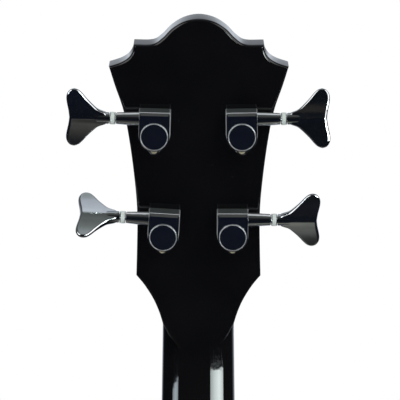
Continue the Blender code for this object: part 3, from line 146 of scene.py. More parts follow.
# %% [markdown]
# ## Studio
# Chrome and lacquer show little of their own: they show the room. So the room is built as what mirrors see. Behind
# the camera it is dark near the horizon and grey above and below; behind the bass hangs a pale backdrop with a dark
# opening in its middle, and at either side a soft lamp stands low and another hangs high. The world's own Generated coordinate is the direction of a ray, and from it the
# height and the heading are worked out. The camera itself sees plain white.

# %% Room for mirrors
world = bpy.data.worlds.new("studio")
bpy.context.scene.world = world
world.use_nodes = True
room = world.node_tree
room.nodes.clear()
direction = add_node(room, "SeparateXYZ", links={0: add_node(room, "TexCoord").outputs["Generated"]})
side, away, up = direction.outputs
height = maths(room, "MULTIPLY", maths(room, "ARCSINE", up), 180 / math.pi)
heading = maths(room, "MULTIPLY", maths(room, "ARCTAN2", maths(room, "MULTIPLY", side, -1.0), away), 180 / math.pi)
FLOOR_LEFT = [(-90, (112, 112, 111)), (-77, (122, 124, 116)), (-70, (100, 102, 97)), (-68, (94, 96, 92)),
              (-66, (79, 81, 79)), (-64, (54, 55, 54)), (-60, (38, 39, 40)), (-52, (20, 23, 26)), (-47, (26, 27, 33)),
              (-42, (18, 21, 26))]
FLOOR_RIGHT = [(-90, (112, 112, 111)), (-80, (100, 100, 99)), (-60, (58, 58, 56)), (-53.5, (46, 46, 45)),
               (-50, (73, 73, 69)), (-47, (57, 57, 54)), (-44, (43, 43, 43)), (-42, (31, 32, 34))]
WALL_AND_CEILING = [(-34, (16, 20, 31)), (-18, (14, 17, 22)), (4, (14, 18, 23)), (6, (46, 43, 41)), (8, (17, 20, 25)),
                    (18, (24, 27, 31)), (29, (46, 48, 50)), (36, (65, 66, 66)), (45, (71, 72, 70)), (58, (75, 77, 75)),
                    (67, (86, 90, 90)), (72, (98, 103, 102)), (75, (116, 122, 120)), (78, (142, 149, 149)),
                    (90, (150, 158, 158))]
where = maths(room, "DIVIDE", maths(room, "ADD", height, 90), 180)
halves = [ramp(room, where, [((h + 90) / 180, screen(*colour)) for h, colour in floor_part + WALL_AND_CEILING])
          for floor_part in (FLOOR_LEFT, FLOOR_RIGHT)]
to_right = add_node(room, "MapRange", {1: -2, 2: 2, 3: 1.0, 4: 0.0}, {0: heading}).outputs[0]
dark_side = blend_colours(room, to_right, *halves)

# %% Backdrop behind the bass
BACKDROP_LIGHT = [(0.0, 0.17), (0.2, 0.25), (0.45, 0.45), (0.69, 0.90), (0.83, 1.0), (1.0, 1.04)]
rightwards = maths(room, "MULTIPLY", maths(room, "MINIMUM", side, 0.0), -0.8)
leftwards = maths(room, "MULTIPLY", maths(room, "MAXIMUM", side, 0.0), 1.2)
sideways = maths(room, "MULTIPLY", maths(room, "ADD", rightwards, leftwards),
                 maths(room, "SUBTRACT", 1.0, maths(room, "MULTIPLY", up, 2.0), clamp=True))
depth = maths(room, "SUBTRACT", maths(room, "MULTIPLY", away, -1.0), sideways)
backdrop = ramp(room, depth, [(p, (v * 0.93, v, v * 1.1)) for p, v in BACKDROP_LIGHT])
straight = add_node(room, "MapRange", {1: 0.94, 2: 0.985, 3: 1.0, 4: 0.15}, {0: maths(room, "MULTIPLY", away, -1.0)}).outputs[0]
above_floor = add_node(room, "MapRange", {1: -35, 2: -10, 3: 0.25, 4: 1.0}, {0: height}).outputs[0]
BACKDROP_TOP = [(0.0, 1.0), (0.28, 1.0), (0.39, 0.78), (0.49, 0.46), (0.6, 0.34), (0.95, 0.34), (0.985, 2.6),
                (1.0, 2.5)]
overhead = ramp(room, up, [(p, (v, v, v)) for p, v in BACKDROP_TOP])
backdrop = blend_colours(room, 1.0, backdrop, maths(room, "MULTIPLY", straight, above_floor), "MULTIPLY")
backdrop = blend_colours(room, 1.0, backdrop, overhead, "MULTIPLY")
behind = add_node(room, "MapRange", {1: -0.02, 2: 0.03, 3: 0.0, 4: 1.0}, {0: depth}).outputs[0]
seen = blend_colours(room, behind, dark_side, backdrop)
print("room seen by mirrors:", len(FLOOR_LEFT + WALL_AND_CEILING), "heights")

# %% Soft lamps in the room
def lamp_image(first, last, top_first, top_last, foot, colour):
    """Add a tall soft lamp to what mirrors see, between two headings and with a slanted top, all in degrees"""
    across = add_node(room, "MapRange", {1: first, 2: last, 3: 0.0, 4: 1.0}, {0: heading}).outputs[0]
    top = maths(room, "ADD", top_first, maths(room, "MULTIPLY", across, top_last - top_first))
    inside = maths(room, "MULTIPLY", maths(room, "GREATER_THAN", heading, first), maths(room, "LESS_THAN", heading, last))
    level = maths(room, "MULTIPLY", maths(room, "LESS_THAN", height, top), maths(room, "GREATER_THAN", height, foot))
    glow = ramp(room, across, [(0.0, (0.42, 0.42, 0.42)), (0.28, (0.78, 0.78, 0.78)), (0.6, (1.0, 1.0, 1.0)),
                               (0.8, (0.85, 0.85, 0.85)), (1.0, (0.55, 0.55, 0.55))])
    bright = blend_colours(room, 1.0, glow, colour, "MULTIPLY")
    return blend_colours(room, maths(room, "MULTIPLY", inside, level), seen, bright)


seen = lamp_image(20, 60.5, -3.45, -3.36, -14, (13.0, 14.6, 14.4))
seen = lamp_image(-63, -41.5, -3.92, -3.61, -8, (5.6, 6.6, 7.2))
seen = lamp_image(26, 74, 46, 46, -2, (1.8, 1.8, 1.8))
seen = lamp_image(-74, -26, 46, 46, -2, (1.8, 1.8, 1.8))
print("four soft lamps")

# %% Put the room together
FILL_LIGHT = 0.55
path = add_node(room, "LightPath")
mirror_room = add_node(room, "Background", {1: 1.0}, {0: seen})
soft_room = add_node(room, "Background", {0: (0.96, 0.98, 1.0, 1.0), 1: FILL_LIGHT})
white_room = add_node(room, "Background", {0: (1.0, 1.0, 1.0, 1.0), 1: 1.0})
shine = maths(room, "MAXIMUM", path.outputs["Is Glossy Ray"], path.outputs["Is Transmission Ray"])
not_camera = add_node(room, "MixShader", links={0: shine, 1: soft_room.outputs[0], 2: mirror_room.outputs[0]})
all_rays = add_node(room, "MixShader", links={0: path.outputs["Is Camera Ray"], 1: not_camera.outputs[0],
                                              2: white_room.outputs[0]})
add_node(room, "OutputWorld", links={0: all_rays.outputs[0]})
print("fill light", FILL_LIGHT)

# %% [markdown]
# Two large lamps model the forms for the plain surfaces: a key light from the upper left of the strings' side and a
# weaker one from behind. Mirrors don't see them, because the room above already holds the lamps' images.

# %% Lamps
def soft_lamp(name, place, target, size, watts):
    """A square lamp that only lights, and that mirrors don't see"""
    lamp = bpy.data.objects.new(name, bpy.data.lights.new(name, "AREA"))
    bpy.context.scene.collection.objects.link(lamp)
    lamp.data.size = size
    lamp.data.energy = watts
    lamp.location = place
    lamp.rotation_euler = (Vector(target) - Vector(place)).to_track_quat("-Z", "Y").to_euler()
    lamp.visible_glossy = False
    return lamp


soft_lamp("front_lamp", (1.2, -1.6, 1.3), (0, 0, -0.4), 1.2, 22)
soft_lamp("back_lamp", (-1.2, 1.8, 1.4), (0, 0, -0.2), 1.2, 22)

# %% [markdown]
# ## Floor
# The bass stands over a plain pale floor. The floor is a disc whose finish fades to the white of the room at its
# rim, so it has no visible edge. Its middle takes the shadow. Mirrors see the room's own lower half instead of it.

# %% Floor
FLOOR_HEIGHT = -0.9335
FLOOR_RADIUS = 1.1
bm = bmesh.new()
bmesh.ops.create_circle(bm, cap_ends=True, segments=96, radius=FLOOR_RADIUS)
floor_mesh = bpy.data.meshes.new("floor")
bm.to_mesh(floor_mesh)
bm.free()
floor = bpy.data.objects.new("floor", floor_mesh)
floor.location = (0, 0, FLOOR_HEIGHT)
bpy.context.scene.collection.objects.link(floor)
paint = bpy.data.materials.new("pale_floor")
paint.use_nodes = True
tree = paint.node_tree
tree.nodes.clear()
place = add_node(tree, "TexCoord").outputs["Object"]
far = add_node(tree, "VectorMath", links={0: place}, operation="LENGTH").outputs["Value"]
fade = add_node(tree, "MapRange", {1: 0.45, 2: 1.02, 3: 0.0, 4: 1.0}, {0: far}, interpolation_type="SMOOTHSTEP")
grain = add_node(tree, "TexNoise", {"Scale": 60.0}, {0: place}).outputs["Fac"]
tint = ramp(tree, grain, [(0.3, (0.84, 0.84, 0.85)), (0.7, (0.88, 0.88, 0.89))])
matt = add_node(tree, "BsdfDiffuse", links={0: tint})
glow = add_node(tree, "Emission", {0: (1.0, 1.0, 1.0, 1.0), 1: 1.0})
cover = add_node(tree, "MixShader", links={0: fade.outputs[0], 1: matt.outputs[0], 2: glow.outputs[0]})
add_node(tree, "OutputMaterial", links={0: cover.outputs[0]})
floor_mesh.materials.append(paint)
floor.visible_glossy = False
print("floor at", FLOOR_HEIGHT)

# %% [markdown]
# ## Finishes
# Each finish starts from the same base: a Principled shader with its even values typed on its sockets, and noise
# that moves only what varies on the real surface, such as the shine, the colour or the height. The record names the
# slot that each finish belongs to, so a piece needs only its finish.

# %% Start of a finish
finishes = {}


def new_finish(name, slot, **values):
    """A material with a Principled shader; returns its tree, its shader and a coordinate in metres"""
    material = bpy.data.materials.new(name)
    material.use_nodes = True
    material["slot"] = slot
    shader = material.node_tree.nodes["Principled BSDF"]
    for key, value in values.items():
        socket = shader.inputs[key.replace("_", " ")]
        socket.default_value = (*value, 1.0) if isinstance(value, tuple) else value
    finishes[name] = material
    coordinate = add_node(material.node_tree, "TexCoord").outputs["Object"]
    return material.node_tree, shader, coordinate


def noise(tree, coordinate, scale, detail=3.0, stretch=None):
    """Noise at so many lumps to a metre, stretched if wanted"""
    if stretch:
        coordinate = add_node(tree, "Mapping", {"Scale": stretch}, {0: coordinate}).outputs[0]
    return add_node(tree, "TexNoise", {"Scale": scale, "Detail": detail}, {0: coordinate}).outputs["Fac"]


def vary(tree, factor, low, high, socket):
    """Let a noise move one socket between two values"""
    node = add_node(tree, "MapRange", {1: 0.3, 2: 0.7, 3: low, 4: high}, {0: factor})
    tree.links.new(node.outputs[0], socket)


def raise_surface(tree, shader, factor, strength, distance=0.001):
    """Let a pattern raise the surface, as a bump"""
    node = add_node(tree, "Bump", {"Strength": strength, "Distance": distance}, {"Height": factor})
    tree.links.new(node.outputs[0], shader.inputs["Normal"])


# %% [markdown]
# ### Black lacquer
# Many thin coats, sanded and polished. It is almost black, mirrors sharply, and up close shows a faint orange-peel
# and a few specks of dust. The specks are the cores of a few cells of a Voronoi pattern.

# %% Black lacquer
tree, shader, spot = new_finish("black_lacquer", "black_lacquer", Coat_Weight=0.35, Coat_Roughness=0.012, IOR=1.5)
tone = ramp(tree, noise(tree, spot, 35), [(0.35, (0.0040, 0.0040, 0.0047)), (0.7, (0.0056, 0.0055, 0.0060))])
cells = add_node(tree, "TexVoronoi", {"Scale": 260.0}, {0: spot})
core = maths(tree, "LESS_THAN", cells.outputs["Distance"], 0.07)
few = maths(tree, "GREATER_THAN", add_node(tree, "SeparateColor", links={0: cells.outputs["Color"]}).outputs[0], 0.93)
speck = maths(tree, "MULTIPLY", core, few)
tree.links.new(blend_colours(tree, speck, tone, (0.030, 0.030, 0.034)), shader.inputs["Base Color"])
vary(tree, noise(tree, spot, 90), 0.014, 0.030, shader.inputs["Roughness"])
raise_surface(tree, shader, noise(tree, spot, 260, 1.0), 0.004)
print("black lacquer, specks one in", round(1 / 0.07), "cells")

# %% [markdown]
# ### Chrome
# Plated metal mirrors nearly everything. What tells it from a perfect mirror is a slightly uneven shine, from wiping
# and from fingers, and a very faint waviness of the polished metal under the plate.

# %% Chrome
tree, shader, spot = new_finish("chrome", "chrome", Metallic=1.0, Base_Color=(0.78, 0.80, 0.82))
tree.links.new(ramp(tree, noise(tree, spot, 120), [(0.3, (0.74, 0.76, 0.78)), (0.7, (0.83, 0.85, 0.87))]),
               shader.inputs["Base Color"])
vary(tree, noise(tree, spot, 260), 0.03, 0.075, shader.inputs["Roughness"])
raise_surface(tree, shader, noise(tree, spot, 160, 1.0), 0.02)

# %% [markdown]
# The machines' housings are cast and chromed. The narrow top that faces up the headstock is made rough and painted
# a dark greenish grey, painted shade where it faces the black headstock. Their sides and the edge along the top are
# made rough and nearly white, so that they show as bright bands: painted highlights. The surface's own direction
# tells which of these it is.

# %% Chrome of the cast housings, with painted shade and painted highlights
tree, shader, spot = new_finish("machine_chrome", "chrome")
normal = spot.node.outputs["Normal"]
facing = add_node(tree, "VectorMath", {1: (0, 0.2924, 0.9563)}, {0: normal}, operation="DOT_PRODUCT").outputs["Value"]
# faces turned up the headstock get a dark greenish grey: painted shade
satin_with_painted_shade = add_node(tree, "MapRange", {1: 0.955, 2: 0.985, 3: 0.0, 4: 1.0}, {0: facing}).outputs[0]
sideways = maths(tree, "ABSOLUTE", add_node(tree, "SeparateXYZ", links={0: normal}).outputs[0])
on_side = maths(tree, "GREATER_THAN", sideways, 0.93)
on_edge = maths(tree, "MULTIPLY", maths(tree, "GREATER_THAN", facing, 0.82), maths(tree, "LESS_THAN", facing, 0.955))
# the sides and the edge along the top turn matt and nearly white: painted highlights
brushed_with_painted_highlight = maths(tree, "MAXIMUM", on_side, on_edge)
polished = ramp(tree, noise(tree, spot, 120), [(0.3, (0.74, 0.76, 0.78)), (0.7, (0.83, 0.85, 0.87))])
# the dark greenish grey of the top is painted shade
painted_dark_top = ramp(tree, noise(tree, spot, 900), [(0.3, (0.052, 0.060, 0.060)), (0.7, (0.070, 0.080, 0.078))])
tree.links.new(blend_colours(tree, satin_with_painted_shade, polished, painted_dark_top), shader.inputs["Base Color"])
dull = maths(tree, "MAXIMUM", maths(tree, "MULTIPLY", satin_with_painted_shade, 0.9), maths(tree, "MULTIPLY", brushed_with_painted_highlight, 0.8))
tree.links.new(maths(tree, "SUBTRACT", 1.0, dull), shader.inputs["Metallic"])
fine = add_node(tree, "MapRange", {1: 0.3, 2: 0.7, 3: 0.03, 4: 0.075}, {0: noise(tree, spot, 260)}).outputs[0]
tree.links.new(maths(tree, "ADD", fine, maths(tree, "MULTIPLY", dull, 0.46)), shader.inputs["Roughness"])

# %% [markdown]
# The thin rim round each housing's cap is a pale, half-matt grey, so that it shows as an even bright ring from all
# sides: a painted highlight.

# %% Rim with a painted highlight
tree, shader, spot = new_finish("rim_with_painted_highlight", "chrome", Metallic=0.45)
# pale grey that looks bright under any light: a painted highlight
tree.links.new(ramp(tree, noise(tree, spot, 500), [(0.3, (0.66, 0.67, 0.68)), (0.7, (0.80, 0.81, 0.82))]),
               shader.inputs["Base Color"])
vary(tree, noise(tree, spot, 700), 0.28, 0.40, shader.inputs["Roughness"])

# %% [markdown]
# ### Gold-coloured screws, plain steel and wound strings
# The tiny screws are brass plated and lightly brushed. Plain steel is duller. A wound string's wire turns round its
# core 2200 times a metre: the mesh carries the length along the string as an attribute, and a sine of it makes the
# ridges as a bump and darkens the grooves between them as painted shade, so that they follow the string also where
# it turns round its post.

# %% Metals
tree, shader, spot = new_finish("gold_screws", "steel", Metallic=0.55)
tree.links.new(ramp(tree, noise(tree, spot, 300), [(0.3, (0.84, 0.76, 0.52)), (0.7, (0.93, 0.87, 0.66))]),
               shader.inputs["Base Color"])
vary(tree, noise(tree, spot, 900), 0.24, 0.36, shader.inputs["Roughness"])
tree, shader, spot = new_finish("steel", "steel", Metallic=1.0)
tree.links.new(ramp(tree, noise(tree, spot, 200), [(0.3, (0.50, 0.50, 0.51)), (0.7, (0.60, 0.60, 0.60))]),
               shader.inputs["Base Color"])
vary(tree, noise(tree, spot, 500, stretch=(1, 1, 0.05)), 0.22, 0.38, shader.inputs["Roughness"])
tree, shader, spot = new_finish("string_steel", "string_steel", Metallic=0.75)
along = add_node(tree, "Attribute", attribute_name="along").outputs["Fac"]
ridge = maths(tree, "SINE", maths(tree, "MULTIPLY", along, 2 * math.pi * 2200))
lit = maths(tree, "ADD", maths(tree, "MULTIPLY", ridge, 0.5), 0.5)
# the grooves between the wraps are painted darker: painted shade
tree.links.new(ramp(tree, lit, [(0.0, (0.42, 0.41, 0.39)), (0.6, (0.62, 0.61, 0.58))]), shader.inputs["Base Color"])
vary(tree, noise(tree, spot, 400), 0.20, 0.34, shader.inputs["Roughness"])
raise_surface(tree, shader, lit, 0.25, 0.00005)

# %% [markdown]
# ### Plastics, nylon, bone and pearl
# Moulded plastic keeps a trace of its mould: a very fine grain and a shine that varies a little. Bone has short
# darker streaks. Pearl has soft bands of changing colour in a thin clear layer.

# %% Plastics and natural white materials
def moulded(name, slot, dark, light, shine, scale=150):
    """A moulded plastic: two near tones, a varying shine and a fine grain"""
    tree, shader, spot = new_finish(name, slot, IOR=1.48)
    tree.links.new(ramp(tree, noise(tree, spot, scale), [(0.3, dark), (0.7, light)]), shader.inputs["Base Color"])
    vary(tree, noise(tree, spot, scale * 2), shine, shine + 0.12, shader.inputs["Roughness"])
    raise_surface(tree, shader, noise(tree, spot, 2500, 1.0), 0.03, 0.0005)


moulded("black_plastic", "black_plastic", (0.010, 0.010, 0.011), (0.016, 0.016, 0.017), 0.16)
moulded("cream_plastic", "cream_plastic", (0.74, 0.64, 0.44), (0.80, 0.71, 0.52), 0.18, 40)
moulded("pale_nylon", "pale_nylon", (0.66, 0.74, 0.69), (0.76, 0.83, 0.79), 0.30)
tree, shader, spot = new_finish("nut_bone", "nut_bone", IOR=1.5)
streaks = noise(tree, spot, 300, 4.0, (0.4, 2.0, 2.0))
tree.links.new(ramp(tree, streaks, [(0.35, (0.72, 0.66, 0.52)), (0.65, (0.83, 0.79, 0.68))]), shader.inputs["Base Color"])
vary(tree, streaks, 0.26, 0.40, shader.inputs["Roughness"])
tree, shader, spot = new_finish("pearl", "nut_bone", IOR=1.6, Coat_Weight=0.6, Coat_Roughness=0.06)
bands = noise(tree, spot, 180, 5.0, (1.0, 1.0, 0.35))
tree.links.new(ramp(tree, bands, [(0.30, (0.55, 0.62, 0.64)), (0.45, (0.80, 0.80, 0.76)), (0.58, (0.70, 0.62, 0.66)),
                                  (0.72, (0.82, 0.84, 0.80))]), shader.inputs["Base Color"])
vary(tree, bands, 0.16, 0.3, shader.inputs["Roughness"])

# %% [markdown]
# ### Woods
# The fingerboard is a dark, oiled wood: long streaks of brown and near black, and short pores that lie along the
# board. The block inside the body is bare pale maple.

# %% Woods
def wooden(name, slot, dark, light, pores, shine):
    """Wood with streaks and pores along Z"""
    tree, shader, spot = new_finish(name, slot, IOR=1.45)
    streaks = noise(tree, spot, 220, 6.0, (1.0, 1.0, 0.06))
    pore = noise(tree, spot, 1400, 2.0, (1.0, 1.0, 0.04))
    base = ramp(tree, streaks, [(0.32, dark), (0.68, light)])
    deep = ramp(tree, pore, [(0.34, pores), (0.42, (1.0, 1.0, 1.0))])
    tree.links.new(blend_colours(tree, 1.0, base, deep, "MULTIPLY"), shader.inputs["Base Color"])
    vary(tree, streaks, shine, shine + 0.14, shader.inputs["Roughness"])
    raise_surface(tree, shader, pore, 0.15, 0.0002)


wooden("fingerboard_wood", "fingerboard_wood", (0.020, 0.010, 0.006), (0.060, 0.030, 0.017), (0.35, 0.3, 0.3), 0.34)
wooden("block_wood", "block_wood", (0.48, 0.32, 0.17), (0.64, 0.46, 0.27), (0.8, 0.75, 0.7), 0.5)
print(len(finishes), "finishes:", ", ".join(finishes))

# %% Dress the nodes that keep their shape
for name, node in nodes.items():
    slot = next(part["material_slot"] for part in frame["record"]["subparts"] if part["node"] == name)
    node.data.materials.clear()
    node.data.materials.append(finishes[slot])

# %% [markdown]
# ## Shapes from rings
# Most pieces are rows of rings with equally many points, skinned with faces. A turned piece is a profile spun round
# an axis. A few more tools smooth a run of points, move an outline inwards, and cut or join closed shapes.

# %% Shape helpers
def skin(rings, closed=False):
    """Skin a row of rings; the ends get caps, or meet each other where the row is closed"""
    count = len(rings[0])
    points = [tuple(point) for ring in rings for point in ring]
    faces = []
    rows = len(rings) if closed else len(rings) - 1
    for row in range(rows):
        below = row * count
        above = (row + 1) % len(rings) * count
        faces += [(below + i, below + (i + 1) % count, above + (i + 1) % count, above + i) for i in range(count)]
    if not closed:
        faces.append(tuple(range(count)))
        faces.append(tuple(range(len(points) - count, len(points))))
    return outward(points, faces)


def outward(points, faces):
    """A mesh from points and faces, with its faces turned outwards"""
    mesh = bpy.data.meshes.new("shape")
    mesh.from_pydata(points, [], faces)
    bm = bmesh.new()
    bm.from_mesh(mesh)
    bmesh.ops.remove_doubles(bm, verts=bm.verts, dist=0.0000005)
    bmesh.ops.recalc_face_normals(bm, faces=bm.faces)
    bm.to_mesh(mesh)
    bm.free()
    return mesh


def turned(profile, steps=40, closed=False):
    """Spin a profile of (radius, height) round Z; it starts and ends on the axis, or is a closed ring profile"""
    rings = []
    for i in range(steps):
        angle = 2 * math.pi * i / steps
        rings.append([(r * math.cos(angle), r * math.sin(angle), h) for r, h in profile])
    points = [point for ring in rings for point in ring]
    count = len(profile)
    faces = []
    for i in range(steps):
        a = i * count
        b = (i + 1) % steps * count
        for k in range(count if closed else count - 1):
            n = (k + 1) % count
            faces.append((a + k, a + n, b + n, b + k))
    mesh = outward(points, faces)
    bm = bmesh.new()
    bm.from_mesh(mesh)
    bmesh.ops.dissolve_degenerate(bm, dist=0.0000005, edges=bm.edges)
    bm.to_mesh(mesh)
    bm.free()
    return mesh


def moved(mesh, matrix):
    """Place a mesh by a matrix, keeping its faces outwards"""
    mesh.transform(matrix)
    if matrix.determinant() < 0:
        mesh.flip_normals()
    return mesh


def between(start, end):
    """A matrix that takes +Z from the origin to the line between two points"""
    start = Vector(start)
    turn = (Vector(end) - start).to_track_quat("Z", "Y").to_matrix().to_4x4()
    return Matrix.Translation(start) @ turn


def rod(start, end, radius, end_radius=None, steps=32):
    """A round bar or cone between two points"""
    length = (Vector(end) - Vector(start)).length
    last = radius if end_radius is None else end_radius
    return moved(turned([(0, 0), (radius, 0), (last, length), (0, length)], steps), between(start, end))


def brick(low, high):
    """A box between two corners"""
    (a, b, c), (d, e, f) = low, high
    return skin([[(a, b, z), (d, b, z), (d, e, z), (a, e, z)] for z in (c, f)])


def smooth_run(points, steps):
    """Points of a smooth curve that passes through the given ones"""
    points = [Vector(point) for point in points]
    row = [points[0] * 2 - points[1], *points, points[-1] * 2 - points[-2]]
    run = []
    for a, b, c, d in zip(row, row[1:], row[2:], row[3:]):
        for k in range(steps):
            t = k / steps
            run.append(((b * 2) + (c - a) * t + (a * 2 - b * 5 + c * 4 - d) * t ** 2
                        + (b * 3 - a - c * 3 + d) * t ** 3) / 2)
    run.append(points[-1])
    return run


def inset(outline, distance):
    """Move each point of a closed outline inwards, by one distance or by one for each point"""
    area = sum(a.x * b.y - b.x * a.y for a, b in zip(outline, outline[1:] + outline[:1]))
    turn = 1 if area > 0 else -1
    count = len(outline)
    result = []
    corners = []
    for i, point in enumerate(outline):
        before = (point - outline[i - 1]).normalized()
        after = (outline[(i + 1) % count] - point).normalized()
        along = (before + after).normalized()
        step = distance[i] if isinstance(distance, list) else distance
        result.append(point + Vector((-along.y, along.x)) * turn * step / max(0.4, along.dot(after)))
        bend = math.atan2((before.x * after.y - before.y * after.x) * turn, before.dot(after))
        if bend > 0.35:
            corners.append((i, step * math.tan(bend / 2)))
    for i, reach in corners:
        for way in (1, -1):
            j = i + way
            while (outline[j % count] - outline[i]).length < reach:
                result[j % count] = result[i].copy()
                j += way
    return result


def flat_ring(outline, y):
    """Stand a flat outline up in the XZ plane at one depth"""
    return [(point.x, y, point.y) for point in outline]


def worked(mesh, cut=(), add=(), bevel=0.0, rounds=2, angle=40):
    """Join shapes to a mesh, cut others out of it, and round its sharp edges"""
    helpers = [bpy.data.objects.new("work", mesh)]
    for shapes, operation in ((add, "UNION"), (cut, "DIFFERENCE")):
        for shape in shapes:
            tool = bpy.data.objects.new("tool", shape)
            helpers.append(tool)
            step = helpers[0].modifiers.new("step", "BOOLEAN")
            step.operation = operation
            step.solver = "EXACT"
            step.object = tool
    if bevel:
        step = helpers[0].modifiers.new("round", "BEVEL")
        step.width = bevel
        step.segments = rounds
        step.limit_method = "ANGLE"
        step.angle_limit = math.radians(angle)
    for helper in helpers:
        bpy.context.scene.collection.objects.link(helper)
    graph = bpy.context.evaluated_depsgraph_get()
    graph.update()
    result = bpy.data.meshes.new_from_object(helpers[0].evaluated_get(graph))
    for helper in helpers:
        bpy.data.objects.remove(helper)
    return result


def joined(meshes):
    """Several meshes as one"""
    bm = bmesh.new()
    for mesh in meshes:
        bm.from_mesh(mesh)
    result = bpy.data.meshes.new("joined")
    bm.to_mesh(result)
    bm.free()
    return result


def piece(name, mesh, finish, body="body", hides=(), sharp=35, even=True):
    """Put a mesh into the scene as one piece that rides on a body, or on none yet, and takes a finish"""
    thing = bpy.data.objects.new(name, mesh)
    bpy.context.scene.collection.objects.link(thing)
    mesh.materials.clear()
    mesh.materials.append(finishes[finish])
    mesh.shade_smooth()
    mesh.set_sharp_from_angle(angle=math.radians(sharp))
    if even:
        shading = thing.modifiers.new("even_shading", "WEIGHTED_NORMAL")
        shading.keep_sharp = True
    if body:
        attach(thing, body)
    if hides:
        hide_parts(*hides)
    return thing


# %% [markdown]
# ## Neck and headstock
# One piece of wood. The headstock is a plate that leans back 17 degrees; its outline is drawn as smooth stretches
# that meet in corners: the crest, the scallop beside it, the flank, the cove that leads into the neck, and a tongue
# that runs out on the neck's round back. Rings move the outline inwards along a quarter circle to round its edges.

# %% Outline of the headstock
HEAD_TILT = math.radians(17)
NUT_LEDGE = 0.006
HEAD_THICKNESS = 0.0165
HEAD = Matrix.Translation((0, 0, NUT_LEDGE)) @ Matrix.Rotation(-HEAD_TILT, 4, "X")
CREST = [(0.0, 0.1889), (0.0085, 0.1872), (0.0155, 0.1829), (0.0206, 0.1777), (0.0262, 0.1742), (0.0369, 0.1740)]
SCALLOP = [(0.0369, 0.1740), (0.0378, 0.1696), (0.0402, 0.1661), (0.0445, 0.1634), (0.0511, 0.1612)]
FLANK = [(0.0511, 0.1612), (0.0479, 0.1504), (0.0427, 0.1340), (0.0391, 0.1129), (0.0364, 0.0886),
         (0.0355, 0.0720), (0.0358, 0.0526), (0.0363, 0.0360)]
COVE = [(0.0363, 0.0360), (0.0315, 0.0298), (0.0266, 0.0216), (0.0232, 0.0136), (0.0209, 0.0060)]
TONGUE = [(0.0209, 0.0060), (0.0170, -0.0015), (0.0130, -0.0076), (0.0085, -0.0130), (0.0040, -0.0160)]
beyond = (-CREST[1][0], CREST[1][1])
half = smooth_run([beyond] + CREST, 8)[8:-1]
for stretch, steps in ((SCALLOP, 6), (FLANK, 5), (COVE, 6), (TONGUE, 3)):
    half += smooth_run(stretch, steps)[:-1]
half.append(Vector(TONGUE[-1]))
head_outline = half + [Vector((-point.x, point.y)) for point in reversed(half[1:])]
print("headstock outline:", len(head_outline), "points,", round(2000 * max(p.x for p in half), 1), "mm wide")

# %% Plate of the headstock
EDGE_ROUNDING = 0.0019
rings = []
for step in range(5):
    angle = math.radians(90) * step / 4
    pulled = inset(head_outline, EDGE_ROUNDING * (1 - math.sin(angle)))
    rings.append(flat_ring(pulled, EDGE_ROUNDING * (1 - math.cos(angle))))
rings += [[(x, HEAD_THICKNESS - y, z) for x, y, z in ring] for ring in reversed(rings)]
head_plate = moved(skin(rings), HEAD)

# %% [markdown]
# The neck's sections are superellipses: a power of 2 is an ellipse, and a high power is nearly a rectangle. The
# first ones lie inside the headstock, and the last ones swell into the heel.

# %% Sections of the neck
NUT_WIDTH = 0.042
BOARD_END_WIDTH = 0.0566
BOARD_LENGTH = 0.560
BODY_TOP = -0.490
NECK_DEPTH_AT_NUT = 0.0138
NECK_DEPTH_AT_HEEL = 0.0175
NECK_ROUNDNESS = 2.3
HEEL_TOP = -0.4397
HEEL_DEPTH = 0.0562
GAP = 0.0003


def board_half(z):
    """Half the fingerboard's width at a height"""
    return (NUT_WIDTH + (BOARD_END_WIDTH - NUT_WIDTH) * -z / BOARD_LENGTH) / 2 + 0.0002


def neck_ring(z, half_width, depth, roundness, front=0.0, count=41):
    """One section of the neck, flat in front"""
    ring = []
    for i in range(count):
        turn = math.pi * (1 - i / (count - 1))
        across = abs(math.cos(turn)) ** (2 / roundness)
        back = abs(math.sin(turn)) ** (2 / roundness)
        ring.append((math.copysign(across, math.cos(turn)) * half_width, front + (depth - front) * back, z))
    return ring


def neck_depth(z):
    """How far back the neck reaches, which grows evenly from the nut to the heel"""
    return NECK_DEPTH_AT_NUT + (NECK_DEPTH_AT_HEEL - NECK_DEPTH_AT_NUT) * (-z - 0.0085) / (-HEEL_TOP - 0.0085)


sections = []
for z in (0.0150, 0.0100, 0.0060):
    front = (z - NUT_LEDGE) * math.tan(HEAD_TILT) + 0.0002
    sections.append(neck_ring(z, board_half(0), neck_depth(z), NECK_ROUNDNESS, front))
heights = [0.0055 - 0.0022 * i for i in range(12)]
heights += [-0.0187 + (HEEL_TOP + 0.0187) * (i / 20) for i in range(1, 21)]
for z in heights:
    sections.append(neck_ring(z, board_half(min(0.0, z)), neck_depth(z), NECK_ROUNDNESS, -0.001))
for share, rise in ((0.2, 0.03), (0.35, 0.08), (0.5, 0.17), (0.62, 0.28), (0.72, 0.43), (0.8, 0.58), (0.87, 0.75),
                    (0.94, 0.9), (1.0, 1.0)):
    z = HEEL_TOP + (BODY_TOP + GAP - HEEL_TOP) * share
    sections.append(neck_ring(z, board_half(z), NECK_DEPTH_AT_HEEL + (HEEL_DEPTH - NECK_DEPTH_AT_HEEL) * rise,
                              NECK_ROUNDNESS + rise, -0.001))
neck_bar = skin(sections)
print("neck:", len(sections), "sections")

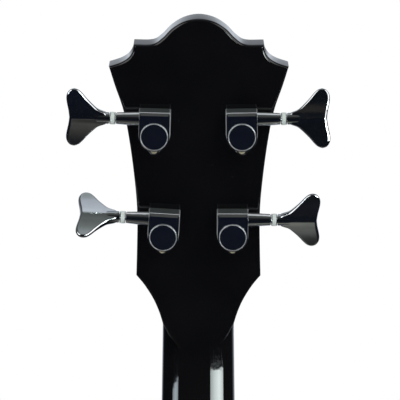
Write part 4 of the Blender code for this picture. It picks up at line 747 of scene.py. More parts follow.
# %% Join the neck, the headstock and the tenon
POSTS = {"e": (-0.0197, 0.0634), "a": (-0.0246, 0.1232), "d": (0.0246, 0.1232), "g": (0.0197, 0.0634)}
holes = [brick((-0.0028, -0.002, -0.445), (0.0028, 0.0103, 0.0203)), brick((-0.0037, -0.002, 0.0117), (0.0037, 0.0112, 0.026))]
for x, z in POSTS.values():
    holes.append(moved(rod((x, -0.002, z), (x, 0.0103, z), 0.0069), HEAD))
    holes.append(moved(rod((x, 0.0, z), (x, 0.0185, z), 0.0048), HEAD))
tenon = brick((-0.023, -0.001, -BOARD_LENGTH), (0.023, 0.036, BODY_TOP + 0.009))
over_board = brick((-0.04, -0.03, -0.57), (0.04, 0.0, NUT_LEDGE - 0.00001))
for mesh, number in ((neck_bar, 0), (head_plate, 1)):
    for _ in range(2):
        mesh.materials.append(finishes["black_lacquer"])
    mesh.polygons.foreach_set("material_index", [number] * len(mesh.polygons))
whole_neck = worked(neck_bar, [*holes, over_board], [head_plate, tenon])
owners = {}
seam = set()
for face in whole_neck.polygons:
    for key in face.edge_keys:
        if owners.setdefault(key, face.material_index) != face.material_index:
            seam.add(key)
piece("neck_and_headstock", whole_neck, "black_lacquer", hides=["neck"])
for edge in whole_neck.edges:
    edge.use_edge_sharp = edge.use_edge_sharp or edge.key in seam
print("edges where the headstock runs out on the neck:", len(seam))

# %% [markdown]
# ## Tuning machines
# Each machine has a cast housing with a round cap, a sleeve for the worm's shaft, a pale washer and a fishtail key.
# They are built once for the right side, and mirrored for the other.

# %% Housing
HOUSING_HALF = 0.0091
HOUSING_FOOT = HEAD_THICKNESS + GAP
HOUSING_FACE = HEAD_THICKNESS + 0.0115
HOUSING_TOP = 0.0139
GEAR_Y = HEAD_THICKNESS + 0.006
WORM_Z = 0.0090
SLEEVE_END = HOUSING_HALF + 0.0128


def housing_mesh():
    """Round below and square above; the top edge is chamfered, and the straight sides lean in a little"""
    corner = 0.0007
    outline = [Vector((0.0087 * math.cos(a), 0.0087 * math.sin(a))) for a in (math.radians(196 + 3.7 * i) for i in range(41))]
    lean = [0.0] * 41
    top = [0.0] * 41
    outline.append(Vector((HOUSING_HALF, -0.0014)))
    for right in (1, -1):
        for i in range(6):
            angle = math.radians(90 - 90 * right * (1 - i / 5)) if right > 0 else math.radians(90 + 18 * i)
            outline.append(Vector((right * (HOUSING_HALF - corner) + corner * math.cos(angle),
                                   HOUSING_TOP - corner + corner * math.sin(angle))))
    outline.append(Vector((-HOUSING_HALF, -0.0014)))
    for point in outline[41:]:
        upper = max(0.0, (point.y - HOUSING_TOP + corner) / corner)
        lean.append(0.0004 * (1 - upper))
        top.append(upper)
    rings = [flat_ring(outline, HOUSING_FOOT)]
    round_start = 0.0022
    chamfer = []
    for k in range(6):
        angle = math.radians(90 - 9 * k)
        chamfer.append((0.0012 * (1 - math.sin(angle)), round_start - 0.0012 * math.cos(angle)))
    chamfer += [(0.0012, 0.00050), (0.00167, 0.00003), (0.00174, 0.0)]
    for k, (pull, drop) in enumerate(chamfer):
        angle = math.radians(90) * k / 8
        small = [0.0003 * (1 - math.cos(angle)), 0.0003 * (1 - math.sin(angle))]
        pulled = inset(outline, [t * pull + (1 - t) * small[0] + s for t, s in zip(top, lean)])
        rings.append([(p.x, HOUSING_FACE - t * drop - (1 - t) * small[1], p.y) for p, t in zip(pulled, top)])
    return skin(rings)


def ear_mesh():
    """The pointed ear under the housing, which the screw holds down"""
    outline = smooth_run([(-0.0052, -0.0062), (-0.0040, -0.0100), (-0.0012, -0.0129), (0.0012, -0.0129),
                          (0.0040, -0.0100), (0.0052, -0.0062)], 4)
    edge = inset(outline, 0.0003)
    foot = HOUSING_FOOT
    return skin([flat_ring(outline, foot), flat_ring(outline, foot + 0.0021), flat_ring(edge, foot + 0.0024)])


def machine_housing():
    """Housing, cap and sleeve, hollow where the worm and the wheel turn"""
    face = HOUSING_FACE
    cap = turned([(0, -0.001), (0.0076, -0.001), (0.0076, 0.00055), (0.0074, 0.00075), (0, 0.00075)], 72)
    cap = moved(cap, between((0, face, 0), (0, face + 1, 0)))
    groove = turned([(0.0076, -0.0002), (0.0081, -0.0002), (0.0081, 0.001), (0.0076, 0.001)], 72, True)
    groove = moved(groove, between((0, face, 0), (0, face + 1, 0)))
    length = SLEEVE_END - HOUSING_HALF + 0.001
    sleeve = turned([(0, 0), (0.0041, 0), (0.00385, length * 0.35), (0.0033, length - 0.0003), (0.0030, length),
                     (0, length)], 40)
    sleeve = moved(sleeve, between((HOUSING_HALF - 0.001, GEAR_Y, WORM_Z), (1, GEAR_Y, WORM_Z)))
    hollow = rod((0, HEAD_THICKNESS - 0.001, 0), (0, GEAR_Y + 0.003, 0), 0.00745)
    tunnel = rod((-0.0083, GEAR_Y, WORM_Z), (0.0083, GEAR_Y, WORM_Z), 0.00385)
    bore = rod((0, GEAR_Y, WORM_Z), (SLEEVE_END + 0.002, GEAR_Y, WORM_Z), 0.0023)
    return worked(housing_mesh(), [groove, hollow, tunnel, bore], [cap, sleeve, ear_mesh()])


housing = machine_housing()
bead = [(0.00778 + 0.00012 * math.cos(math.radians(a)), 0.0006 + 0.00020 * math.sin(math.radians(a)))
        for a in range(0, 360, 30)]
cap_rim = moved(turned(bead, 72, True), between((0, HOUSING_FACE, 0), (0, HOUSING_FACE + 1, 0)))
print("housing:", len(housing.polygons), "faces")

# %% [markdown]
# The key is a fishtail: sections run across it, each a thin bar with rounded rims. A ridge runs along its middle and
# both flanks fall away from it in a hollow curve, which parts its mirror image into tones. It widens straight from
# its round neck.

# %% Outline of a key
KEY_OUTER = [(0.0, 0.0226), (0.0040, 0.0231), (0.0084, 0.0240), (0.0115, 0.02435), (0.0140, 0.0239), (0.0161, 0.0224),
             (0.0170, 0.0202)]
KEY_INNER = [(0.0, 0.0004), (0.0029, 0.0012), (0.0040, 0.0034), (0.0052, 0.0062), (0.0084, 0.0098),
             (0.0115, 0.0128), (0.0140, 0.0149), (0.0161, 0.0172), (0.0170, 0.0196)]
KEY_HALF = 0.0170
KEY_MIDDLE = 0.0028
KEY_RIM = 0.0012


def curve_at(points, across):
    """Read a smooth curve, given as (across, out), at one place"""
    run = smooth_run(points, 12)
    for first, second in zip(run, run[1:]):
        if first.x <= across <= second.x and second.x > first.x:
            return first.y + (second.y - first.y) * (across - first.x) / (second.x - first.x)
    return run[-1].y


# %% Shape of a key
def key_section(across):
    """One thin bar of the key: its rims are rounded, and it is a little thicker near its foot"""
    share = abs(across) / KEY_HALF
    start = curve_at(KEY_INNER, abs(across))
    end = curve_at(KEY_OUTER, abs(across))
    crowned = (KEY_MIDDLE - KEY_RIM) * (1 - share) ** 1.8
    tip = math.sqrt(max(0.02, 1 - max(0.0, (share - 0.94) / 0.06) ** 2))
    ring = []
    for out, way in ((end, 1), (start, -1)):
        thick = (KEY_RIM + crowned * (0.8 if way > 0 else 1.0)) * tip
        round_off = min(0.0017, (end - start) * 0.45)
        for k in range(25):
            angle = math.radians(90) * (1 - k / 12) * way
            height = math.copysign(abs(math.sin(angle)) ** 0.8, math.sin(angle))
            ring.append((out + way * round_off * (math.cos(angle) - 1), height * thick, across))
    return ring


def key_mesh():
    """Paddle with a ridge and rounded rims, joined to its neck and bored for the shaft"""
    paddle = skin([key_section(KEY_HALF * math.sin(math.pi * (i / 80 - 0.5))) for i in range(81)])
    neck = turned([(0, 0), (0.0031, 0), (0.0034, 0.0003), (0.0034, 0.0007), (0.0033, 0.0030), (0.0031, 0.0060),
                   (0.0024, 0.0095), (0.0012, 0.0120), (0, 0.0125)], 40)
    neck = moved(neck, between((0, 0, 0), (1, 0, 0)))
    bore = rod((-0.002, 0, 0), (0.0078, 0, 0), 0.00215)
    return worked(paddle, [bore], [neck])


key = key_mesh()
print("key:", len(key.polygons), "faces")

# %% Washer and screw
washer = turned([(0.0023, 0.0006), (0.0034, 0.0006), (0.0036, 0.0008), (0.0036, 0.0026), (0.0034, 0.0028),
                 (0.0023, 0.0028)], 40, True)
thin_ring = [(0.0023, 0.0), (0.0033, 0.0), (0.0036, 0.0002), (0.0033, 0.0005), (0.0023, 0.0005)]
rings = joined([turned(thin_ring, 40, True), turned([(r, h + 0.0029) for r, h in thin_ring], 40, True)])


def screw_head(radius, height, cross=True):
    """A domed screw head with a cross or a straight slot, its seat at the origin and its top along +Z"""
    dome = turned([(0, 0), (radius, 0), (radius, height * 0.35), (radius * 0.85, height * 0.75), (radius * 0.5, height),
                   (0, height)], 32)
    wide, deep = radius * 0.16, height * 0.4
    slots = [brick((-radius * 0.62, -wide, deep), (radius * 0.62, wide, height * 2))]
    if cross:
        slots.append(brick((-wide, -radius * 0.62, deep), (wide, radius * 0.62, height * 2)))
    else:
        slots = [brick((-radius * 1.2, -wide, deep), (radius * 1.2, wide, height * 2))]
    return worked(dome, slots)


# %% [markdown]
# The string post is turned from bar, waisted where the string winds and slotted across its top for the string's
# end. It stands in a bushing with a rounded flange on the front of the headstock.

# %% Post and bushing
def post_mesh():
    """The string post's polished outside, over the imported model's plain post with its worm wheel"""
    profile = [(0, 0.0187), (0.0037, 0.0187), (0.0043, 0.0185), (0.0046, 0.0180), (0.0046, 0.0150), (0.0044, 0.0146),
               (0.0038, 0.0138), (0.0037, 0.0130), (0.0037, 0.0034), (0.0039, 0.0030), (0.0046, 0.0027),
               (0.0046, -0.0050), (0, -0.0050)]
    slot = brick((-0.00112, -0.01, 0.0148), (0.00112, 0.01, 0.021))
    return worked(turned(profile, 48), [slot])


def bushing_mesh():
    """The flanged bushing that lines the post's hole"""
    return turned([(0.0048, 0.0025), (0.0070, 0.0025), (0.0078, 0.0022), (0.0083, 0.0016), (0.0085, 0.0009),
                   (0.0085, GAP), (0.0066, GAP), (0.0066, -0.010), (0.0048, -0.010)], 48, True)


# %% Fit the four machines
KEY_TURNS = {"e": -11, "a": 13, "d": -2.5, "g": 59}
LEANS = {"e": 0.0, "a": 1.0, "d": 1.5, "g": 3.5}
KEY_FOOT = SLEEVE_END + GAP + 0.0034 + GAP
TREBLE_SIDE_ASIDE = 0.0007
for name, (x, z) in POSTS.items():
    side = 1 if x > 0 else -1
    mirror = Matrix.Diagonal((side, 1, 1, 1))
    upright = HEAD @ Matrix.Translation((x, 0, z))
    aside = Matrix.Translation((TREBLE_SIDE_ASIDE if side > 0 else 0.0, 0, 0))
    stand = upright @ aside @ Matrix.Rotation(math.radians(-side * LEANS[name]), 4, "Y")
    piece("machine_housing_" + name, moved(housing.copy(), stand @ mirror), "machine_chrome",
          hides=["tuner_housing_" + name])
    piece("cap_rim_" + name, moved(cap_rim.copy(), stand), "rim_with_painted_highlight")
    seat = stand @ between((0, HOUSING_FOOT + 0.0023, -0.0105), (0, 1, -0.0105))
    piece("ear_screw_" + name, moved(screw_head(0.0019, 0.0012), seat), "gold_screws")
    outwards = stand @ mirror @ between((SLEEVE_END + GAP, GEAR_Y, WORM_Z), (1, GEAR_Y, WORM_Z))
    piece("washer_" + name, moved(washer.copy(), outwards), "pale_nylon", hides=["tuner_washer_" + name])
    piece("washer_rings_" + name, moved(rings.copy(), outwards), "chrome")
    foot = stand @ Matrix.Translation((side * KEY_FOOT, GEAR_Y, WORM_Z))
    turn = Matrix.Rotation(math.radians(KEY_TURNS[name]), 4, "X")
    piece("key_" + name, moved(key.copy(), foot @ turn @ mirror), "chrome", "key_" + name, ["tuner_key_" + name])
    front = upright @ Matrix.Rotation(math.radians(90), 4, "X")
    piece("string_post_" + name, moved(post_mesh(), front), "chrome", "post_" + name)
    piece("post_bushing_" + name, moved(bushing_mesh(), front), "chrome", hides=["tuner_bushing_" + name])
print("machines fitted:", len(POSTS))

# %% [markdown]
# ## Fingerboard, frets and nut
# The board is glued onto the neck's flat front, and its face is crowned. Each fret stands where it shortens the
# string by the twelfth root of two. The frets are bent wires with a round head, cut off at the board's edges.

# %% Fingerboard
SCALE_LENGTH = 0.770
BOARD_THICKNESS = 0.006
BOARD_CROWN = 0.0008
FRET_PLACES = [-SCALE_LENGTH * (1 - 2 ** (-number / 12)) for number in range(23)]


def board_face(x, z):
    """Depth of the board's crowned face at a place"""
    return BOARD_CROWN * (x / board_half(z)) ** 2 - BOARD_THICKNESS


def board_section(z, shrink=0.0):
    """One section of the board, with its two long edges rounded"""
    half = board_half(z) - shrink
    edge = 0.0006
    ring = [(-half, -GAP, z), (half, -GAP, z)]
    side = board_face(half, z) + edge
    ring += [(half, side, z), (half - edge * 0.3, side - edge * 0.7, z)]
    for k in range(15):
        x = (half - edge) * (1 - k / 7)
        ring.append((x, board_face(x, z), z))
    return ring + [(-half + edge * 0.3, side - edge * 0.7, z), (-half, side, z)]


board_ends = [board_section(0.0, 0.0003), board_section(-0.0003)]
board_ends += [board_section(-0.02 * i) for i in range(1, 28)]
board_ends += [board_section(-BOARD_LENGTH + 0.0004), board_section(-BOARD_LENGTH, 0.0004)]
piece("fingerboard_wood", skin(board_ends), "fingerboard_wood", hides=["fingerboard"])

# %% Frets
def fret_wire(z):
    """One fret: half-round sections across the board, sloped down at both ends"""
    half = board_half(z) - 0.0003
    sections = []
    for k in range(19):
        x = half * (k / 9 - 1)
        end = 0.25 if k in (0, 18) else 1.0
        place = x if k in (0, 18) else x * (1 - 0.0012 / half)
        face = board_face(place, z)
        head = [(0.0013 * math.cos(math.pi * i / 8), 0.0009 * end * math.sin(math.pi * i / 8)) for i in range(9)]
        ring = [(place, face - rise, z + off) for off, rise in head]
        sections.append(ring + [(place, face + 0.0004, z - 0.0012), (place, face + 0.0004, z + 0.0012)])
    return skin(sections)


piece("frets", joined([fret_wire(z) for z in FRET_PLACES[1:]]), "steel")

# %% [markdown]
# Round dots of pearl mark the third, fifth, seventh and ninth fret and so on, with two at the octave. Small dots on
# the board's edge show the player the same places. They are inlaid, so they lie nearly flush.

# %% Dots
MARKED = (3, 5, 7, 9, 12, 15, 17, 19, 21)
pearls = []
side_dots = []
for number in MARKED:
    z = (FRET_PLACES[number] + FRET_PLACES[number - 1]) / 2
    for x in ((-0.0115, 0.0115) if number == 12 else (0.0,)):
        face = board_face(x, z)
        pearls.append(rod((x, face + 0.0006, z), (x, face - 0.00004, z), 0.0030))
    edge = -board_half(z)
    side_dots.append(rod((edge + 0.0005, -0.0032, z), (edge - 0.00003, -0.0032, z), 0.0010, steps=20))
piece("board_dots", joined(pearls), "pearl")
piece("side_dots", joined(side_dots), "cream_plastic")
print("dots:", len(pearls), "on the face,", len(side_dots), "on the edge")

# %% [markdown]
# The nut is a bar of bone. Its top falls towards the headstock, and each string lies in a round slot filed to its
# own thickness.

# %% Nut
STRINGS = {"e": (0.001325, -1.5, 1.75), "a": (0.00105, -0.5, 2.25), "d": (0.0008, 0.5, 2.5), "g": (0.00056, 1.5, 3.0)}
NUT_SPACING = 0.0107
BRIDGE_SPACING = 0.019
NUT_HEIGHT = 0.0078
SADDLE_HEIGHT = 0.0118
bar = [(-0.0003, 0.0003), (-0.0086, 0.0003), (-0.0089, 0.0005), (-0.0090, 0.0008), (-0.0090, 0.0022), (-0.0088, 0.0032),
       (-0.0083, 0.0042), (-0.0075, 0.0049), (-0.0072, 0.0050), (-0.0003, 0.0050)]
nut_half = board_half(0)
bar_sections = []
for x, shrink in ((-nut_half, 0.0004), (-nut_half + 0.0004, 0.0), (nut_half - 0.0004, 0.0), (nut_half, 0.0004)):
    bar_sections.append([(x, min(-0.0003, y + shrink), max(0.0003, min(0.0050, z))) for y, z in bar])
slots = []
for radius, place, _ in STRINGS.values():
    x = place * NUT_SPACING
    middle = -NUT_HEIGHT - radius
    slots.append(rod((x, middle, -0.001), (x, middle, 0.006), radius + 0.00003, steps=24))
    slots.append(brick((x - radius, -0.012, -0.001), (x + radius, middle, 0.006)))
piece("nut_bone", worked(skin(bar_sections), slots), "nut_bone", hides=["nut"])

# %% [markdown]
# ## Strings
# A string is a tube along its route: from the tail of the bridge over its saddle and the nut, then in neat turns
# down and up its post and into the post's slot. Each ring of the tube is turned only as far as the route bends, so
# the tube doesn't twist. The part behind the saddle and the part in front of it share a ring on the saddle.
# The turns on the post are a third piece.

# %% Route of a string
def string_route(name):
    """Points and radii of a string; the third point lies on its saddle"""
    radius, place, turns = STRINGS[name]
    x_post, z_post = POSTS[name]
    side = 1 if x_post > 0 else -1
    x_nut = place * NUT_SPACING
    x_saddle = place * BRIDGE_SPACING
    tail = -0.0088 - radius
    route = [Vector((x_saddle, tail, -0.8078)), Vector((x_saddle, tail, -0.797)),
             Vector((x_saddle, -SADDLE_HEIGHT - radius, -SCALE_LENGTH))]
    at_nut = Vector((x_nut, -NUT_HEIGHT - radius, 0.0))
    for share in (0.02, 0.1, 0.25, 0.4, 0.55, 0.7, 0.85, 0.98):
        route.append(route[2].lerp(at_nut, share))
    behind = Vector((x_nut, at_nut.y, 0.0054))
    route += [at_nut, behind]
    start = HEAD.inverted() @ behind
    around = 0.0037 + radius + 0.0002
    away = Vector((start.x - x_post, start.z - z_post))
    heading = math.atan2(away.y, away.x) - side * math.acos(around / away.length)
    end_angle = -side * (math.pi / 2 + 2 * math.pi * round(turns - 0.2))
    while abs(end_angle - heading) < 2 * math.pi * (turns - 0.3):
        end_angle -= side * math.pi
    count = int(abs(end_angle - heading) / (2 * math.pi) * 40)
    first = -0.0025 - radius - 0.0007
    radii = [radius] * len(route)
    for i in range(count + 1):
        angle = heading + (end_angle - heading) * i / count
        left = abs(end_angle - angle) / (2 * math.pi)
        climb = max(0.0, 1 - left / 0.6)
        climb = climb * climb * (3 - 2 * climb)
        depth = first - (2 * radius + 0.0002) * abs(angle - heading) / (2 * math.pi)
        depth += (-0.0166 - depth) * climb
        reach = around + (0.0047 + 0.0010 - around) * climb if around < 0.0057 else around
        radii.append(radius + (min(radius, 0.0009) - radius) * climb)
        route.append(HEAD @ Vector((x_post + reach * math.cos(angle), depth, z_post + reach * math.sin(angle))))
    way = math.copysign(1.0, math.sin(end_angle))
    for out in (0.0047, 0.0036, 0.0015, 0.0):
        route.append(HEAD @ Vector((x_post, -0.0168, z_post + way * out)))
        radii.append(min(radius, 0.0009))
    return route, radii


# %% Tube along a route
def tube_rings(route, radii, sides=14):
    """Rings along a route, each square to it, without twist"""
    rings = []
    reference = Vector((1, 0, 0))
    for i, point in enumerate(route):
        before = (point - route[max(0, i - 1)]).normalized()
        after = (route[min(len(route) - 1, i + 1)] - point).normalized()
        along = (before + after).normalized()
        reference = (reference - along * reference.dot(along)).normalized()
        across = along.cross(reference)
        rings.append([point + (reference * math.cos(a) + across * math.sin(a)) * radii[i]
                      for a in (2 * math.pi * k / sides for k in range(sides))])
    return rings


def string_tube(rings, lengths):
    """A tube that carries its length along the string at every point, for the winding's ridges"""
    sides = len(rings[0])
    points = [tuple(point) for ring in rings for point in ring]
    faces = []
    for row in range(len(rings) - 1):
        low = row * sides
        faces += [(low + k, low + (k + 1) % sides, low + sides + (k + 1) % sides, low + sides + k) for k in range(sides)]
    faces += [tuple(reversed(range(sides))), tuple(range(len(points) - sides, len(points)))]
    mesh = bpy.data.meshes.new("string")
    mesh.from_pydata(points, [], faces)
    mark = mesh.attributes.new("along", "FLOAT", "POINT")
    mark.data.foreach_set("value", [length for length in lengths for _ in range(sides)])
    bm = bmesh.new()
    bm.from_mesh(mesh)
    bmesh.ops.recalc_face_normals(bm, faces=bm.faces)
    bm.to_mesh(mesh)
    bm.free()
    return mesh


BEHIND_NUT = 12
ball_ends = []
for name, (radius, place, _) in STRINGS.items():
    route, radii = string_route(name)
    lengths = [0.0]
    for first, second in zip(route, route[1:]):
        lengths.append(lengths[-1] + (second - first).length)
    rings_of_string = tube_rings(route, radii)
    behind_saddle = string_tube(rings_of_string[:3], lengths[:3])
    in_front = string_tube(rings_of_string[2:BEHIND_NUT + 1], lengths[2:BEHIND_NUT + 1])
    winding = string_tube(rings_of_string[BEHIND_NUT:], lengths[BEHIND_NUT:])
    main = piece("string_wire_" + name, in_front, "string_steel", None, ["string_" + name], even=False)
    back = piece("string_tail_" + name, behind_saddle, "string_steel", None, ["string_" + name], even=False)
    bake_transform(main)
    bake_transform(back)
    wound = piece("string_winding_" + name, winding, "string_steel", None, ["string_" + name], even=False)
    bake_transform(wound)
    centre = Vector((place * BRIDGE_SPACING, -0.0088 - radius, -0.8078))
    wide = radius + 0.0008
    ball = [(0, 0), (wide * 0.7, 0), (wide, 0.0003), (wide, 0.0019), (wide * 0.7, 0.0022), (0, 0.0022)]
    ball_ends.append(moved(turned(ball, 24), between(centre, centre - Vector((0, 0, 1)))))
    print("string", name, "is", round(lengths[-1] * 1000), "mm long")
piece("ball_ends", joined(ball_ends), "gold_screws")

# %% [markdown]
# ## Body
# The outline is one smooth run from the neck joint round the horn, the waist and the tail. The plates are rings of
# that outline, shrunk towards the middle of the body and raised as the arch grows. A moving average rounds the arch.

# %% Outline of the body
HORN_AND_SIDE = [(0.0450, 0.0100), (0.0680, 0.0340), (0.0960, 0.0522), (0.1270, 0.0410), (0.1480, -0.0020),
                 (0.1450, -0.0680), (0.1260, -0.1350), (0.1500, -0.2050), (0.1910, -0.2620), (0.2030, -0.3100),
                 (0.1910, -0.3600), (0.1400, -0.4090), (0.0720, -0.4270), (0.0, -0.4300)]
TOP_EDGE = 0.0125
BODY_DEPTH = 0.044
TOP_ARCH = 0.0115
BACK_ARCH = 0.010
PLATE = 0.0045
RIM = 0.0045
BINDING = 0.002
side_points = [(board_half(BODY_TOP) + GAP, BODY_TOP)] + [(x, BODY_TOP + z) for x, z in HORN_AND_SIDE]
past_tail = (-side_points[-2][0], side_points[-2][1])
SPAN_STEPS = 9
treble_half = smooth_run(side_points + [past_tail], SPAN_STEPS)[:-SPAN_STEPS]
body_outline = treble_half + [Vector((-p.x, p.y)) for p in reversed(treble_half[:-1])]
print("body outline:", len(body_outline), "points")

# %% Arch of the plates
ARCH_CENTRE = Vector((0.0, BODY_TOP - 0.160))
ARCH_STEPS = [(0.5, 1.0), (0.68, 0.7045), (0.86, 0.1912), (1.0, 0.0)]


def arch(share):
    """Height of the arch at a share of the way to the edge: 1 in the middle, 0 at the edge"""
    total = 0.0
    for k in range(-4, 5):
        at = min(1.0, max(0.0, share + 0.011 * k))
        height = 1.0
        for (inner, high), (outer, low) in zip(ARCH_STEPS, ARCH_STEPS[1:]):
            if at >= inner:
                height = high + (low - high) * (at - inner) / (outer - inner)
        total += height
    return total / 9 - (0.013 if share == 1.0 else 0.0)


PLATE_SHARES = [1.0, 0.985, 0.96, 0.93, 0.90, 0.88, 0.86, 0.84, 0.82, 0.78, 0.74, 0.71, 0.69, 0.67, 0.65, 0.61, 0.57,
                0.54, 0.52, 0.50, 0.48, 0.45]


def plate(edge, height, inward):
    """An arched plate: its outer face from the middle to the edge, and its inner face back again"""
    outline = inset(body_outline, BINDING + GAP)
    rings = []
    for y, shares in ((edge, reversed(PLATE_SHARES)), (edge + inward, PLATE_SHARES)):
        for share in shares:
            rings.append([(ARCH_CENTRE.x + (p.x - ARCH_CENTRE.x) * share, y + height * arch(share),
                           ARCH_CENTRE.y + (p.y - ARCH_CENTRE.y) * share) for p in outline])
    return skin(rings)


# %% [markdown]
# The top is cut for the sound holes, the pickups, the neck's tenon, the bridge's studs and the controls. A sound
# hole is a slanted slot that swells in its middle and ends in a round eye at both ends.

# %% Openings of the top
CONTROLS = {"volume_neck": ((0.112, 0.00428, -0.802), (0.05719, -0.99645, -0.06176)),
            "volume_bridge": ((0.15, 0.00804, -0.806), (0.11087, -0.99214, -0.05803)),
            "tone": ((0.132, 0.00932, -0.842), (0.07123, -0.99323, -0.09181)),
            "switch": ((0.09, 0.00731, -0.846), (0.03978, -0.99319, -0.1095))}
PICKUPS = {"neck_pickup": -0.594, "bridge_pickup": -0.712}
STUDS = [(-0.036, -0.762), (0.036, -0.762), (0.0, -0.798)]


def sound_hole(side):
    """Cutting shapes for one sound hole"""
    upper = Vector((0.118, BODY_TOP - 0.150))
    lower = Vector((0.098, BODY_TOP - 0.282))
    left, right = [], []
    for i in range(29):
        share = i / 28
        middle = upper.lerp(lower, share) - Vector((0.013 * math.sin(2 * math.pi * share), 0))
        width = 0.0028 + 0.0050 * math.sin(math.pi * share)
        left.append(Vector((side * (middle.x - width), middle.y)))
        right.append(Vector((side * (middle.x + width), middle.y)))
    outline = left + right[::-1]
    eyes = [rod((side * p.x, -0.03, p.y), (side * p.x, 0.05, p.y), r, steps=40) for p, r in ((upper, 0.0065), (lower, 0.0080))]
    return [skin([flat_ring(outline, -0.03), flat_ring(outline, 0.05)]), *eyes]


def control_place(name):
    """A matrix square to the arched top at one control, its Z axis pointing out and its Y axis up the neck"""
    place, normal = CONTROLS[name]
    return between(place, Vector(place) + Vector(normal))


openings = sound_hole(1) + sound_hole(-1)
openings.append(brick((-0.0233, -0.03, -0.5603), (0.0233, 0.0363, -0.47)))
openings += [brick((-0.046, -0.03, z - 0.020), (0.046, 0.016, z + 0.020)) for z in PICKUPS.values()]
openings += [rod((x, -0.03, z), (x, 0.0213, z), 0.0048) for x, z in STUDS]
for name in CONTROLS:
    radius = 0.0061 if name == "switch" else 0.0049
    openings.append(moved(rod((0, 0, -0.02), (0, 0, 0.02), radius, steps=40), control_place(name)))
piece("arched_top", worked(plate(TOP_EDGE, -TOP_ARCH, PLATE), openings), "black_lacquer", hides=["top_plate"])
piece("arched_back", plate(TOP_EDGE + BODY_DEPTH, BACK_ARCH, -PLATE), "black_lacquer", hides=["back_plate"])
print("openings in the top:", len(openings))

# %% [markdown]
# The rims are bent strips of wood that meet at the tail. Cream binding is let into both edges of the body; its outer
# corner is scraped round.

# %% Rims and bindings
rim_front = TOP_EDGE + PLATE + GAP
rim_back = TOP_EDGE + BODY_DEPTH - PLATE - GAP
inner_outline = inset(body_outline, RIM)
tail = len(body_outline) // 2
for name, run, shift in (("rim_treble_side", range(0, tail + 1), GAP / 2), ("rim_bass_side", range(tail, len(body_outline)), -GAP / 2)):
    strips = []
    for i in run:
        move = shift if i == tail else 0.0
        a, b = body_outline[i], inner_outline[i]
        strips.append([(a.x + move, rim_front, a.y), (a.x + move, rim_back, a.y), (b.x + move, rim_back, b.y),
                       (b.x + move, rim_front, b.y)])
    rim = skin(strips)
    if name == "rim_treble_side":
        rim = worked(rim, [rod((0.19, 0.0345, -0.800), (0.21, 0.0345, -0.800), 0.0053)])
    piece(name + "_wood", rim, "black_lacquer", hides=[name])
outlines = [body_outline] + [inset(body_outline, d) for d in (0.0001, 0.0003, 0.0006, BINDING)]
for name, face, last in (("top_binding", TOP_EDGE, rim_front - GAP), ("back_binding", TOP_EDGE + BODY_DEPTH, rim_back + GAP)):
    way = 1 if last > face else -1
    depths = [face + way * 0.0006, face + way * 0.0003, face + way * 0.0001, face, face]
    strips = []
    for i in range(len(body_outline)):
        section = [(outline[i].x, y, outline[i].y) for outline, y in zip(outlines, depths)]
        strips.append([(body_outline[i].x, last, body_outline[i].y), *section, (outlines[-1][i].x, last, outlines[-1][i].y)])
    piece(name + "_strip", skin(strips), "cream_plastic", hides=[name])

# %% [markdown]
# ## Pickups
# Each pickup has a chromed cover with four slotted pole screws, one under each string, and sits in a black surround
# that four small screws hold down.

# %% Pickups and surrounds
def string_across(place, z):
    """How far across a string runs at a height between the nut and the bridge"""
    return place * (NUT_SPACING + (BRIDGE_SPACING - NUT_SPACING) * -z / SCALE_LENGTH)


for name, z in PICKUPS.items():
    cover = worked(brick((-0.045, -0.0075, z - 0.019), (0.045, 0.014, z + 0.019)), bevel=0.0022, rounds=5)
    poles = []
    cups = []
    for _, place, _ in STRINGS.values():
        x = string_across(place, z)
        spot = z - 0.0095
        poles.append(moved(screw_head(0.0027, 0.0011, False), between((x, -0.0075, spot), (x, -1, spot))))
        cups.append(rod((x, -0.01, spot), (x, -0.0070, spot), 0.0030))
        poles.append(rod((x, -0.0069, spot), (x, -0.0076, spot), 0.0026, steps=24))
    piece(name + "_cover", worked(cover, cups), "chrome", hides=[name])
    piece(name + "_poles", joined(poles), "steel")
    frame_bar = worked(brick((-0.052, -0.0033, z - 0.026), (0.052, 0.0007, z + 0.026)), bevel=0.0015, rounds=4)
    opening = brick((-0.0453, -0.02, z - 0.0193), (0.0453, 0.02, z + 0.0193))
    seats = []
    screws = []
    for x in (-0.0487, 0.0487):
        for aside in (-0.0227, 0.0227):
            spot = (x, -0.0033, z + aside)
            seats.append(rod((x, -0.004, z + aside), (x, -0.0028, z + aside), 0.0017, 0.0013, steps=24))
            screws.append(moved(screw_head(0.0015, 0.0007), between((x, -0.0029, z + aside), (x, -1, z + aside))))
    piece(name + "_surround", worked(frame_bar, [opening, *seats]), "black_plastic", hides=[name + "_ring"])
    piece(name + "_ring_screws", joined(screws), "steel")

# %% [markdown]
# ## Bridge
# The bridge stands on three studs. Its floor carries four saddles, its tail wall holds the strings' ends, and a long
# screw through the wall moves each saddle. A spring round each screw keeps the saddle pushed forwards.

# %% Bridge body
SCREW_DEPTH = -0.0070
base = brick((-0.042, -0.0055, -0.806), (0.042, -0.0025, -0.752))
wall = brick((-0.042, -0.0140, -0.806), (0.042, -0.0030, -0.798))
lip = brick((-0.042, -0.0075, -0.755), (0.042, -0.0030, -0.752))
casting = worked(base, [], [wall, lip], bevel=0.0007, rounds=3)
cuts = []
for radius, place, _ in STRINGS.values():
    x = place * BRIDGE_SPACING
    room = radius + 0.0006
    cuts.append(brick((x - room, -0.03, -0.81), (x + room, -0.0085, -0.79)))
    cuts.append(rod((x, SCREW_DEPTH, -0.81), (x, SCREW_DEPTH, -0.79), 0.0010, steps=20))
legs = [rod((x, -0.0030, z), (x, 0.0210, z), 0.0045) for x, z in STUDS]
cuts += [rod((x, -0.0060, z), (x, -0.0046, z), 0.0042, steps=40) for x, z in STUDS[:2]]
piece("bridge_casting", worked(casting, cuts, legs), "chrome", hides=["bridge_body"])
heads = []
